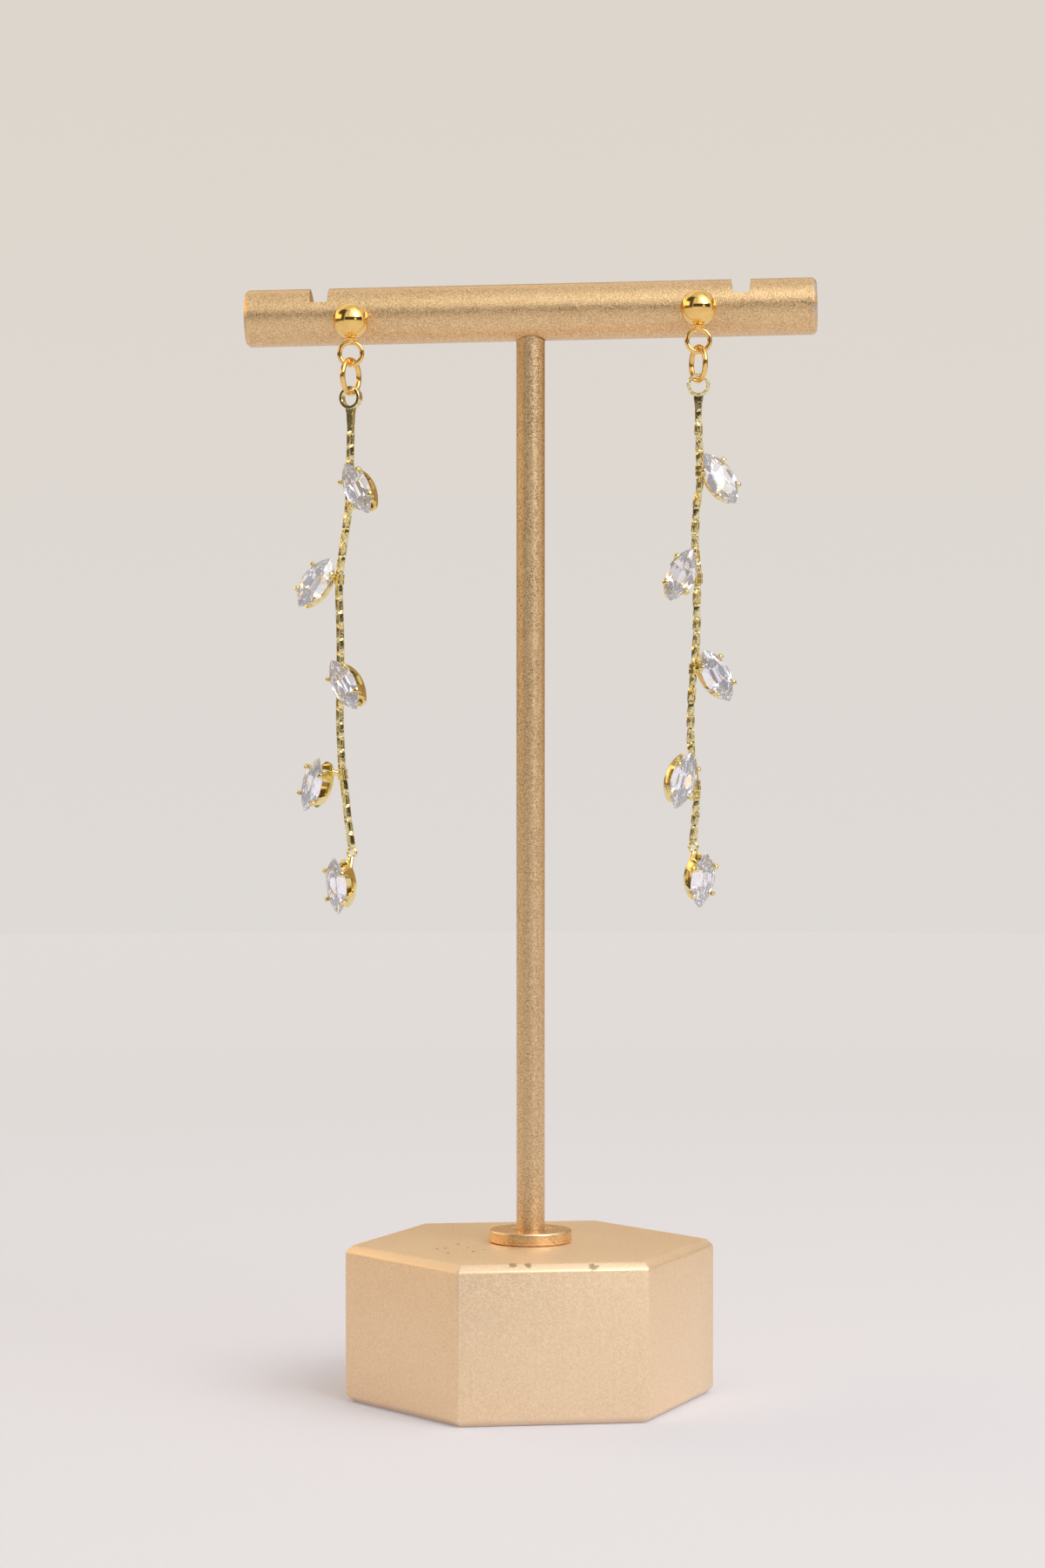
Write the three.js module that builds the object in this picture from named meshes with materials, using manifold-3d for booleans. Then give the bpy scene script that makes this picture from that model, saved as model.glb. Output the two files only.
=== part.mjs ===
// A pair of long dangle earrings hanging on a plain T-bar earring stand.
// Units are millimetres, +Z is up. The origin is the centre of the base's underside, under the pole.
// +X runs along the bar and -Y is the front, where the earrings hang.

import * as THREE from "three";
import { mergeVertices } from "three/addons/utils/BufferGeometryUtils.js";
import Module from "manifold-3d";

const wasm = await Module();
wasm.setup();

// ---------------------------------------------------------------- driving dimensions, stand

const BASE = { radius: 19.7, height: 16.5, chamfer: 0.7, turn: 10.2 };
const SOCKET = { radius: 1.6, depth: 7.5 };
const FLANGE = { radius: 4.35, height: 1.3, bore: 1.6, chamfer: 0.25, gap: 0.05 };
const POLE = { radius: 1.5, top: 114.1 };
const BAR = { radius: 3.0, length: 60.2, height: 114.65, tilt: 1.07, chamfer: 0.35 };
const BAR_SEAT = { radius: 1.6, roof: -0.35 };
const NOTCH = { offset: 22.2, topWidth: 2.05, floorWidth: 1.75, floor: 1.35 };
const POST_HOLE_RADIUS = 1.05;

// ---------------------------------------------------------------- driving dimensions, earrings

const BALL_RADIUS = 1.88;
const BALL_REACH = 4.98;
const POST = { radius: 0.4, tail: 6.6 };
const NUT = { radius: 2.2, front: 3.15, length: 2.3, bore: 0.46, lip: 0.5 };
const STUD_RING = { radius: 1.18, wire: 0.24, drop: 3.42 };
const SOLDER_NECK_RADIUS = 0.34;
const JUMP_RING = { radius: 1.76, wire: 0.27 };
const LINK_GAP = 0.04;
const END_RING = { outer: 1.2, inner: 0.85, depth: 0.8, slack: 0.05, neckTop: 0.52, neckFoot: 0.4 };
const CHAIN = { radius: 0.4, sides: 8, steps: 28, depth: -4.9 };

// ---------------------------------------------------------------- driving dimensions, stones

const STONE = { halfLength: 3.05, halfWidth: 1.5, girdle: 0.06, crown: 0.45, pavilion: 1.25 };
const TABLE = { halfLength: 1.95, halfWidth: 0.86 };
const KEEL = { halfLength: 0.8, halfWidth: 0.06 };
const SEAT_GAP = 0.06;
const CUP = { rim: -0.2, foot: -2.0, sill: -1.25, wall: 0.3 };
const CUP_RIM = { halfLength: 2.85, halfWidth: 1.45 };
const CUP_FOOT = { halfLength: 2.45, halfWidth: 1.22 };
const WINDOW = { sideHalf: 1.05, endFrom: 1.95 };
const PRONG = {
  along: 1.52, across: 1.42, tip: 0.55, footAlong: 1.4, footAcross: 0.8, radius: 0.25, head: 0.33,
};
const SLEEVE = { bore: 0.5, radius: 0.72, length: 0.9, bridge: 0.3 };
const BAIL = { radius: 0.42, wire: 0.16, stem: 0.22 };

// ---------------------------------------------------------------- the two earrings

// along: the stud's place on the bar. droop: how far the loose post lets the ball sag, in degrees.
// jumpTurn and endTurn: how far those rings are turned about the vertical, in degrees.
// neck: length of the tapered end above the chain. bail: centre of the loop over the last setting.
const EARRINGS = [
  {
    side: "left", along: -18.6, droop: 11.1, jumpTurn: 66, endTurn: -24, neck: 2.3,
    bail: new THREE.Vector3(-18.58, CHAIN.depth, 57.78),
  },
  {
    side: "right", along: 17.66, droop: 5.05, jumpTurn: -66, endTurn: 0, neck: 1.3,
    bail: new THREE.Vector3(17.15, CHAIN.depth - 0.05, 58.42),
  },
];

// Centre line of each chain, from the tapered end down to the last setting: [x, z].
const CHAIN_ROUTES = {
  left: [
    [-18.60, 101.75], [-18.64, 99.8], [-18.70, 97.5], [-18.75, 95.5], [-18.82, 94.0], [-19.02, 92.3],
    [-19.30, 90.5], [-19.55, 88.7], [-19.75, 87.2], [-19.85, 85.8], [-19.83, 84.0], [-19.75, 82.2],
    [-19.70, 79.8], [-19.70, 78.0], [-19.73, 75.9], [-19.76, 73.6], [-19.76, 71.4], [-19.68, 69.5],
    [-19.60, 67.6], [-19.50, 66.2], [-19.38, 65.2], [-19.20, 64.0], [-19.05, 62.4], [-18.88, 60.8],
    [-18.66, 59.4], [-18.52, 58.4],
  ],
  right: [
    [17.66, 103.95], [17.64, 102.2], [17.72, 100.8], [17.80, 99.4], [17.87, 97.7], [17.82, 96.2],
    [17.58, 94.8], [17.40, 93.1], [17.33, 91.3], [17.33, 89.7], [17.50, 88.4], [17.60, 86.9],
    [17.57, 85.4], [17.50, 84.0], [17.50, 81.5], [17.44, 79.5], [17.27, 77.7], [17.12, 75.9],
    [16.96, 74.0], [16.88, 72.2], [16.87, 70.4], [16.95, 68.6], [17.15, 66.8], [17.40, 65.2],
    [17.50, 63.9], [17.45, 62.5], [17.35, 61.3], [17.24, 60.1], [17.16, 59.05],
  ],
};

// One row for each setting, top to bottom. centre is the middle of the stone's girdle.
// lean: the lower tip's lean towards +X. turn and rise: where the stone's table faces,
// turned from the front towards +X and raised above level. grip: height of its sleeve on the chain.
const SETTINGS = {
  left: [
    { centre: [-17.78, -7.45, 95.75], lean: 26.7, turn: -29.6, rise: 2.0, grip: 95.8 },
    { centre: [-22.25, -6.40, 86.02], lean: -32.2, turn: -11.9, rise: 17.8, grip: 86.4 },
    { centre: [-19.12, -7.50, 75.37], lean: 29.1, turn: -34.1, rise: 0.1, grip: 76.0 },
    { centre: [-22.67, -5.40, 64.95], lean: -17.2, turn: -46.6, rise: 0.2, grip: 66.0 },
    { centre: [-20.09, -5.80, 54.35], lean: 2.7, turn: -42.1, rise: -11.4, grip: null },
  ],
  right: [
    { centre: [19.93, -7.20, 96.67], lean: 31.3, turn: 14.6, rise: 9.2, grip: 97.6 },
    { centre: [15.88, -7.20, 86.76], lean: -23.9, turn: 13.4, rise: 6.3, grip: 86.4 },
    { centre: [19.57, -6.80, 76.33], lean: 27.3, turn: 24.6, rise: 4.3, grip: 77.0 },
    { centre: [16.12, -7.30, 65.43], lean: -15.8, turn: 31.5, rise: -9.5, grip: 64.9 },
    { centre: [18.16, -5.85, 55.02], lean: -7.0, turn: 37.9, rise: -18.8, grip: null },
  ],
};

// ---------------------------------------------------------------- materials

function gold(colour, roughness) {
  return new THREE.MeshStandardMaterial({ color: colour, roughness, metalness: 1.0 });
}

const FINISHES = {
  satinGold: () => gold(0xcfa878, 0.45),
  polishedGold: () => gold(0xe8b451, 0.12),
  chainGold: () => gold(0xdcb85c, 0.22),
  clearStone: () => new THREE.MeshStandardMaterial({
    color: 0xe6e4f0, roughness: 0.05, metalness: 0.0, transparent: true, opacity: 0.7,
  }),
};

// ---------------------------------------------------------------- solids and meshes

const rad = THREE.MathUtils.degToRad;
const UP = new THREE.Vector3(0, 0, 1);

// A closed manifold solid from a three.js geometry.
function solidOf(geometry) {
  const bare = geometry.clone();
  bare.deleteAttribute("normal");
  bare.deleteAttribute("uv");
  const merged = mergeVertices(bare, 1e-4);
  const corners = merged.index.array;
  const triangles = [];
  for (let i = 0; i < corners.length; i += 3) {
    const [a, b, c] = corners.slice(i, i + 3);
    if (a !== b && b !== c && c !== a) {
      triangles.push(a, b, c);
    }
  }
  return new wasm.Manifold(new wasm.Mesh({
    numProp: 3,
    vertProperties: new Float32Array(merged.attributes.position.array),
    triVerts: new Uint32Array(triangles),
  }));
}

function geometryOf(solid) {
  const mesh = solid.getMesh();
  const geometry = new THREE.BufferGeometry();
  geometry.setAttribute("position", new THREE.BufferAttribute(mesh.vertProperties, 3));
  geometry.setIndex(new THREE.BufferAttribute(mesh.triVerts, 1));
  geometry.computeVertexNormals();
  return geometry;
}

function piece(name, geometry, finish) {
  const mesh = new THREE.Mesh(geometry, FINISHES[finish]());
  mesh.name = name;
  return mesh;
}

// A round bar from one point to another.
function rod(from, to, radius, sides) {
  const axis = new THREE.Vector3().subVectors(to, from);
  const geometry = new THREE.CylinderGeometry(radius, radius, axis.length(), sides);
  geometry.rotateX(Math.PI / 2);
  geometry.applyQuaternion(new THREE.Quaternion().setFromUnitVectors(UP, axis.normalize()));
  const middle = new THREE.Vector3().addVectors(from, to).multiplyScalar(0.5);
  return geometry.translate(middle.x, middle.y, middle.z);
}

// A turned shape about Z, from a profile of [radius, height] points.
function turned(profile, sides) {
  const points = profile.map(([radius, height]) => new THREE.Vector2(radius, height));
  return new THREE.LatheGeometry(points, sides).rotateX(Math.PI / 2);
}

// A round-wire ring facing the front, centred on the origin.
function wireRing(radius, wire, segments, sides) {
  return new THREE.TorusGeometry(radius, wire, sides, segments).rotateX(Math.PI / 2);
}

// ---------------------------------------------------------------- stand

function standBase() {
  const { radius, height, chamfer } = BASE;
  const flank = chamfer * Math.cos(Math.PI / 6);
  const block = turned([
    [0, 0],
    [radius - chamfer, 0],
    [radius, flank],
    [radius, height - flank],
    [radius - chamfer, height],
    [0, height],
  ], 6);
  block.rotateZ(rad(BASE.turn + 30));
  const floor = new THREE.Vector3(0, 0, height - SOCKET.depth);
  const mouth = new THREE.Vector3(0, 0, height + 1);
  const socket = rod(floor, mouth, SOCKET.radius, 32);
  return geometryOf(solidOf(block).subtract(solidOf(socket)));
}

function standFlange() {
  const { radius, height, bore, chamfer } = FLANGE;
  return turned([
    [bore, 0],
    [radius, 0],
    [radius, height - chamfer],
    [radius - chamfer, height],
    [bore, height],
    [bore, 0],
  ], 32);
}

function standPole() {
  const foot = BASE.height - SOCKET.depth + 0.1;
  return turned([[0, foot], [POLE.radius, foot], [POLE.radius, POLE.top], [0, POLE.top]], 32);
}

// A slot cut through the bar from front to back, open at the top and a little wider there.
function notchCutter(along) {
  const slope = (NOTCH.topWidth - NOTCH.floorWidth) / 2;
  const above = BAR.radius + 1;
  const lip = NOTCH.floorWidth / 2 + slope * (above - NOTCH.floor) / (BAR.radius - NOTCH.floor);
  const outline = new THREE.Shape([
    new THREE.Vector2(along - NOTCH.floorWidth / 2, NOTCH.floor),
    new THREE.Vector2(along + NOTCH.floorWidth / 2, NOTCH.floor),
    new THREE.Vector2(along + lip, above),
    new THREE.Vector2(along - lip, above),
  ]);
  const depth = 2 * BAR.radius + 2;
  const cutter = new THREE.ExtrudeGeometry(outline, { depth, bevelEnabled: false });
  return cutter.translate(0, 0, -depth / 2).rotateX(Math.PI / 2);
}

// The bar, lying along X with its middle at the origin of its own frame.
function standBar() {
  const half = BAR.length / 2;
  const inner = half - BAR.chamfer;
  const round = turned([
    [0, -half],
    [BAR.radius - BAR.chamfer, -half],
    [BAR.radius, -inner],
    [BAR.radius, inner],
    [BAR.radius - BAR.chamfer, half],
    [0, half],
  ], 36);
  let bar = solidOf(round.rotateY(Math.PI / 2));
  for (const side of [-1, 1]) {
    bar = bar.subtract(solidOf(notchCutter(side * NOTCH.offset)));
  }
  for (const earring of EARRINGS) {
    const front = new THREE.Vector3(earring.along, -BAR.radius - 1, 0);
    const back = new THREE.Vector3(earring.along, BAR.radius + 1, 0);
    bar = bar.subtract(solidOf(rod(front, back, POST_HOLE_RADIUS, 20)));
  }
  const mouth = new THREE.Vector3(0, 0, -BAR.radius - 1);
  const roof = new THREE.Vector3(0, 0, BAR_SEAT.roof);
  return geometryOf(bar.subtract(solidOf(rod(mouth, roof, BAR_SEAT.radius, 24))));
}

function stand() {
  const group = new THREE.Group();
  group.add(piece("stand_base", standBase(), "satinGold"));
  const flange = piece("stand_flange", standFlange(), "satinGold");
  flange.position.z = BASE.height + FLANGE.gap;
  group.add(flange);
  group.add(piece("stand_pole", standPole(), "satinGold"));
  const bar = piece("stand_bar", standBar(), "satinGold");
  bar.position.z = BAR.height;
  bar.rotation.y = -rad(BAR.tilt);
  group.add(bar);
  return group;
}

// ---------------------------------------------------------------- stud and rings

// Middle of the bar's post hole for one earring.
function postHole(earring) {
  return new THREE.Vector3(earring.along, 0, BAR.height + earring.along * Math.tan(rad(BAR.tilt)));
}

// Points from the ball towards the back, along the post.
function postDirection(earring) {
  return new THREE.Vector3(0, Math.cos(rad(earring.droop)), Math.sin(rad(earring.droop)));
}

function ballCentre(earring) {
  return postHole(earring).addScaledVector(postDirection(earring), -BALL_REACH);
}

// Ball, post and the ring soldered under the ball, with the ball's centre at the origin.
function ballStud(earring) {
  const centre = new THREE.Vector3();
  const ringTop = new THREE.Vector3(0, 0, STUD_RING.radius - STUD_RING.drop);
  const ballFoot = new THREE.Vector3(0, 0, -BALL_RADIUS + 0.2);
  const tail = postDirection(earring).multiplyScalar(BALL_REACH + POST.tail);
  const ring = wireRing(STUD_RING.radius, STUD_RING.wire, 18, 6);
  ring.translate(0, 0, -STUD_RING.drop);
  return geometryOf(
    solidOf(new THREE.SphereGeometry(BALL_RADIUS, 20, 12))
      .add(solidOf(rod(centre, tail, POST.radius, 10)))
      .add(solidOf(rod(ballFoot, ringTop, SOLDER_NECK_RADIUS, 8)))
      .add(solidOf(ring)),
  );
}

// A plain ear nut pushed on the post behind the bar.
function earNut() {
  const { radius, length, bore, lip } = NUT;
  return turned([
    [bore, 0],
    [radius, 0],
    [radius, lip],
    [radius * 0.6, lip * 1.6],
    [radius * 0.6, length - lip * 0.5],
    [radius * 0.35, length],
    [bore, length],
    [bore, 0],
  ], 16);
}

// A short tube facing the front, with a flat tapered neck below it that meets the chain.
function endRing(earring) {
  const { outer, inner, depth, neckTop, neckFoot } = END_RING;
  const tube = turned([
    [inner, -depth / 2],
    [outer, -depth / 2],
    [outer, depth / 2],
    [inner, depth / 2],
    [inner, -depth / 2],
  ], 24).rotateX(Math.PI / 2);
  const shoulder = -(inner + outer) / 2;
  const foot = -outer - earring.neck;
  const outline = new THREE.Shape([
    new THREE.Vector2(-neckTop, shoulder),
    new THREE.Vector2(-neckFoot, foot),
    new THREE.Vector2(neckFoot, foot),
    new THREE.Vector2(neckTop, shoulder),
  ]);
  const thick = depth * 0.8;
  const neck = new THREE.ExtrudeGeometry(outline, { depth: thick, bevelEnabled: false });
  neck.translate(0, 0, -thick / 2).rotateX(Math.PI / 2);
  return geometryOf(solidOf(tube).add(solidOf(neck)));
}

// ---------------------------------------------------------------- chain

function chainCurve(side) {
  const points = CHAIN_ROUTES[side].map(([x, z]) => new THREE.Vector3(x, CHAIN.depth, z));
  return new THREE.CatmullRomCurve3(points);
}

function chainTube(side) {
  const section = new THREE.Shape();
  for (let i = 0; i < CHAIN.sides; i += 1) {
    const angle = (2 * Math.PI * i) / CHAIN.sides;
    const x = CHAIN.radius * Math.cos(angle);
    const y = CHAIN.radius * Math.sin(angle);
    if (i === 0) {
      section.moveTo(x, y);
    } else {
      section.lineTo(x, y);
    }
  }
  return new THREE.ExtrudeGeometry(section, {
    steps: CHAIN.steps, extrudePath: chainCurve(side), curveSegments: 1,
  });
}

// The chain's point at one height, and its direction there.
function chainAt(side, height) {
  const curve = chainCurve(side);
  let low = 0;
  let high = 1;
  for (let i = 0; i < 30; i += 1) {
    const middle = (low + high) / 2;
    if (curve.getPointAt(middle).z > height) {
      low = middle;
    } else {
      high = middle;
    }
  }
  return { point: curve.getPointAt(low), tangent: curve.getTangentAt(low) };
}

// ---------------------------------------------------------------- stones and settings

// Half the width of a marquise outline at a distance along it from the middle: two equal arcs.
function marquiseHalfWidth(along, halfLength, halfWidth) {
  const arc = (halfLength ** 2 + halfWidth ** 2) / (2 * halfWidth);
  return Math.sqrt(Math.max(arc ** 2 - along ** 2, 0)) - (arc - halfWidth);
}

// A solid lofted through marquise outlines, lowest first: [z, halfLength, halfWidth].
function marquiseLoft(levels, segments) {
  const positions = [];
  const triangles = [];
  for (const [z, halfLength, halfWidth] of levels) {
    for (let i = 0; i < segments; i += 1) {
      const angle = (2 * Math.PI * i) / segments;
      const along = halfLength * Math.cos(angle);
      const across = marquiseHalfWidth(along, halfLength, halfWidth) * Math.sign(Math.sin(angle));
      positions.push(along, i % (segments / 2) === 0 ? 0 : across, z);
    }
  }
  const last = (levels.length - 1) * segments;
  const footCentre = levels.length * segments;
  positions.push(0, 0, levels[0][0], 0, 0, levels[levels.length - 1][0]);
  for (let i = 0; i < segments; i += 1) {
    const next = (i + 1) % segments;
    for (let row = 0; row < last; row += segments) {
      triangles.push(row + i, row + next, row + segments + next);
      triangles.push(row + i, row + segments + next, row + segments + i);
    }
    triangles.push(footCentre, next, i);
    triangles.push(footCentre + 1, last + i, last + next);
  }
  const geometry = new THREE.BufferGeometry();
  geometry.setAttribute("position", new THREE.Float32BufferAttribute(positions, 3));
  geometry.setIndex(triangles);
  geometry.computeVertexNormals();
  return geometry;
}

// A marquise-cut stone with its girdle's middle at the origin and its table towards +Z.
function stoneGeometry(grow) {
  const length = STONE.halfLength + grow;
  const width = STONE.halfWidth + grow;
  return marquiseLoft([
    [-STONE.pavilion - grow, KEEL.halfLength, KEEL.halfWidth],
    [-STONE.girdle - grow, length, width],
    [STONE.girdle + grow, length, width],
    [STONE.crown + grow, TABLE.halfLength + grow, TABLE.halfWidth + grow],
  ], 16);
}

// The boat-shaped cup: a closed foot, a low wall, and windows between its four uprights.
function cupSolid() {
  const outer = marquiseLoft([
    [CUP.foot, CUP_FOOT.halfLength, CUP_FOOT.halfWidth],
    [CUP.rim, CUP_RIM.halfLength, CUP_RIM.halfWidth],
  ], 12);
  const inner = marquiseLoft([
    [CUP.foot + CUP.wall, CUP_FOOT.halfLength - 2 * CUP.wall, CUP_FOOT.halfWidth - CUP.wall],
    [CUP.rim + 0.1, CUP_RIM.halfLength - 2 * CUP.wall, CUP_RIM.halfWidth - CUP.wall],
  ], 12);
  const tall = CUP.rim - CUP.sill + 0.2;
  const wide = 2 * CUP_RIM.halfWidth + 1;
  const middle = CUP.sill + tall / 2;
  const side = new THREE.BoxGeometry(2 * WINDOW.sideHalf, wide, tall).translate(0, 0, middle);
  const ends = [-1, 1].map((end) => new THREE.BoxGeometry(2, wide, tall)
    .translate(end * (WINDOW.endFrom + 1), 0, middle));
  let cup = solidOf(outer).subtract(solidOf(inner)).subtract(solidOf(side));
  for (const end of ends) {
    cup = cup.subtract(solidOf(end));
  }
  return cup;
}

// One prong: a thin pin with a wider blunt head, from its foot to its tip.
function prongPin(foot, tip) {
  const axis = new THREE.Vector3().subVectors(tip, foot);
  const length = axis.length();
  const { radius, head } = PRONG;
  const pin = turned([
    [0, 0],
    [radius, 0],
    [radius, length - 2 * head],
    [head, length - 1.4 * head],
    [head, length - 0.5 * head],
    [head * 0.55, length],
    [0, length],
  ], 6);
  pin.applyQuaternion(new THREE.Quaternion().setFromUnitVectors(UP, axis.normalize()));
  return pin.translate(foot.x, foot.y, foot.z);
}

// Four prongs that stand out past the girdle, with heads that lap over the stone's edge.
function addProngs(cup) {
  let solid = cup;
  for (const end of [-1, 1]) {
    for (const side of [-1, 1]) {
      const foot = new THREE.Vector3(end * PRONG.footAlong, side * PRONG.footAcross, CUP.foot + 0.2);
      const tip = new THREE.Vector3(end * PRONG.along, side * PRONG.across, PRONG.tip);
      solid = solid.add(solidOf(prongPin(foot, tip)));
    }
  }
  return solid;
}

// The point of the cup's solid wall nearest to a point beside or behind it.
function nearestWall(point) {
  const along = THREE.MathUtils.clamp(point.x, -CUP_FOOT.halfLength + 0.3, CUP_FOOT.halfLength - 0.3);
  const half = marquiseHalfWidth(along, CUP_FOOT.halfLength, CUP_FOOT.halfWidth) - CUP.wall / 2;
  const across = THREE.MathUtils.clamp(point.y, -half, half);
  const height = THREE.MathUtils.clamp(point.z, CUP.foot + 0.15, CUP.sill - 0.1);
  return new THREE.Vector3(along, across, height);
}

// A sleeve round the chain, soldered to the cup by a short bridge.
function addSleeve(cup, point, tangent) {
  const half = SLEEVE.length / 2;
  const ends = (reach) => [
    point.clone().addScaledVector(tangent, -reach),
    point.clone().addScaledVector(tangent, reach),
  ];
  const [top, foot] = ends(half);
  const [above, below] = ends(half + 0.5);
  return cup
    .add(solidOf(rod(top, foot, SLEEVE.radius, 8)))
    .add(solidOf(rod(point, nearestWall(point), SLEEVE.bridge, 6)))
    .subtract(solidOf(rod(above, below, SLEEVE.bore, 8)));
}

// A small upright loop over the cup's upper tip, soldered to it by a stem.
function addBail(cup, centre, toLocal) {
  const loop = wireRing(BAIL.radius, BAIL.wire, 12, 6);
  loop.translate(centre.x, centre.y, centre.z).applyMatrix4(toLocal);
  const lowest = centre.clone();
  lowest.z -= BAIL.radius;
  const stemTop = lowest.applyMatrix4(toLocal);
  const tip = new THREE.Vector3(-CUP_FOOT.halfLength + 0.45, 0, CUP.foot + 0.2);
  return cup.add(solidOf(loop)).add(solidOf(rod(stemTop, tip, BAIL.stem, 6)));
}

// The setting's own frame: +X along the stone towards its lower tip, +Z out of its table.
function settingFrame(row) {
  const lean = rad(row.lean);
  const turn = rad(row.turn);
  const rise = rad(row.rise);
  const facing = new THREE.Vector3(
    Math.sin(turn) * Math.cos(rise),
    -Math.cos(turn) * Math.cos(rise),
    Math.sin(rise),
  );
  const depth = (Math.cos(lean) * facing.z - Math.sin(lean) * facing.x) / facing.y;
  const length = new THREE.Vector3(Math.sin(lean), depth, -Math.cos(lean)).normalize();
  const width = new THREE.Vector3().crossVectors(facing, length);
  return new THREE.Matrix4().makeBasis(length, width, facing).setPosition(...row.centre);
}

function settingGeometry(earring, row) {
  const toLocal = settingFrame(row).invert();
  let solid = addProngs(cupSolid());
  if (row.grip === null) {
    solid = addBail(solid, earring.bail, toLocal);
  } else {
    const { point, tangent } = chainAt(earring.side, row.grip);
    solid = addSleeve(solid, point.applyMatrix4(toLocal), tangent.transformDirection(toLocal));
  }
  return geometryOf(solid.subtract(solidOf(stoneGeometry(SEAT_GAP))));
}

function placeIn(mesh, frame) {
  mesh.position.setFromMatrixPosition(frame);
  mesh.quaternion.setFromRotationMatrix(frame);
  return mesh;
}

// ---------------------------------------------------------------- assembly

function earringGroup(earring) {
  const { side } = earring;
  const group = new THREE.Group();

  const stud = piece(`${side}_ball_stud`, ballStud(earring), "polishedGold");
  stud.position.copy(ballCentre(earring));
  group.add(stud);

  const nut = piece(`${side}_ear_nut`, earNut(), "polishedGold");
  nut.quaternion.setFromUnitVectors(UP, postDirection(earring));
  nut.position.copy(postHole(earring).addScaledVector(postDirection(earring), NUT.front));
  group.add(nut);

  const studRingFoot = stud.position.z - STUD_RING.drop - STUD_RING.radius + STUD_RING.wire;
  const jumpRing = piece(
    `${side}_jump_ring`,
    wireRing(JUMP_RING.radius, JUMP_RING.wire, 24, 8),
    "polishedGold",
  );
  const jumpReach = JUMP_RING.radius - JUMP_RING.wire;
  jumpRing.position.set(stud.position.x, CHAIN.depth, studRingFoot + LINK_GAP - jumpReach);
  jumpRing.rotation.z = rad(earring.jumpTurn);
  group.add(jumpRing);

  // The end ring's short tube rides on the jump ring, which rises a little towards both its mouths.
  const halfDepth = END_RING.depth / 2;
  const rideHeight = jumpRing.position.z - Math.sqrt(jumpReach ** 2 - halfDepth ** 2);
  const ring = piece(`${side}_end_ring`, endRing(earring), "chainGold");
  const holeTop = rideHeight + LINK_GAP + END_RING.slack;
  ring.position.set(stud.position.x, CHAIN.depth, holeTop - END_RING.inner);
  ring.rotation.z = rad(earring.endTurn);
  group.add(ring);

  group.add(piece(`${side}_chain`, chainTube(side), "chainGold"));

  SETTINGS[side].forEach((row, index) => {
    const frame = settingFrame(row);
    const number = index + 1;
    const cup = piece(`${side}_setting_${number}`, settingGeometry(earring, row), "polishedGold");
    const stone = piece(`${side}_stone_${number}`, stoneGeometry(0), "clearStone");
    group.add(placeIn(cup, frame), placeIn(stone, frame));
  });
  return group;
}

const model = new THREE.Group();
model.add(stand());
for (const earring of EARRINGS) {
  model.add(earringGroup(earring));
}

export default model;
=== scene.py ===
"""A pair of long dangle earrings on a plain T-bar earring stand, finished round its CAD frame.

Pieces are shaped in millimetres and then brought to the frame's metres. +X runs along the bar,
-Y is the front, where the earrings hang, and +Z is up.
"""

import logging
import math
from collections.abc import Callable, Iterator, Sequence
from contextlib import contextmanager
from dataclasses import dataclass, field
from enum import Enum
from itertools import pairwise

import bmesh
import bpy
import numpy as np
from mathutils import Matrix, Vector


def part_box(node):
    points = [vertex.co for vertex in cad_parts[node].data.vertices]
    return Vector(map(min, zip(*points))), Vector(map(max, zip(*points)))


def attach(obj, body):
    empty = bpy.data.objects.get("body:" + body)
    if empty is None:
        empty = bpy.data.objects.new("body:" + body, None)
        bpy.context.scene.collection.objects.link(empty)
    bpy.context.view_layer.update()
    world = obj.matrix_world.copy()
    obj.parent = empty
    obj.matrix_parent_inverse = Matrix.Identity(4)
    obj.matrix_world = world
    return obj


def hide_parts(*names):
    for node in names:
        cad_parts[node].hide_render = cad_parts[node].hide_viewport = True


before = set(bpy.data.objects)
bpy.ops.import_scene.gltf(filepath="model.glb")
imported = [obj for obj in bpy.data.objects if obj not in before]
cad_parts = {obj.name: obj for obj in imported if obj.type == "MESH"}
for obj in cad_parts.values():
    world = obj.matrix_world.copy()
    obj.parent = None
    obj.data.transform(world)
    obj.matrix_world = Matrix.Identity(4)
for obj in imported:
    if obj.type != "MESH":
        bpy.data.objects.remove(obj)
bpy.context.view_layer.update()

MM = 0.001
FULL_TURN = 2 * math.pi
MERGE_GAP = 1e-4
BOTH = (1, -1)
Z_AXIS = Vector((0, 0, 1))
ORIGIN = Vector((0, 0, 0))
BODY = "root"
WEAR = "edge_wear"
KEEL = "keel"

Profile = Sequence[tuple[float, float]]
Colour = tuple[float, float, float]
Spots = tuple[tuple[float, float, float, float], ...]
Facet = tuple[Vector, Vector]
Pair = tuple[bpy.types.Object, bpy.types.Object]
Dress = tuple[bpy.types.Material, bpy.types.Material]
Socket = bpy.types.NodeSocket

log = logging.getLogger("earrings")


# ---------------------------------------------------------------- bench: shaping with Blender's tools


class Pick(Enum):
    """What the edit-mode tools act on."""

    CORNERS = "VERT"
    EDGES = "EDGE"
    FACES = "FACE"


class Work(Enum):
    """How one solid is worked with another."""

    CUT = "DIFFERENCE"
    WELD = "UNION"


class Side(Enum):
    """The two earrings, by their end of the bar."""

    LEFT = "left"
    RIGHT = "right"


def only(piece: bpy.types.Object) -> None:
    """Makes one piece the only selected one, and the active one.

    Args:
        piece: the piece that the next operators act on.
    """
    bpy.ops.object.select_all(action="DESELECT")
    piece.select_set(True)
    bpy.context.view_layer.objects.active = piece


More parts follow.
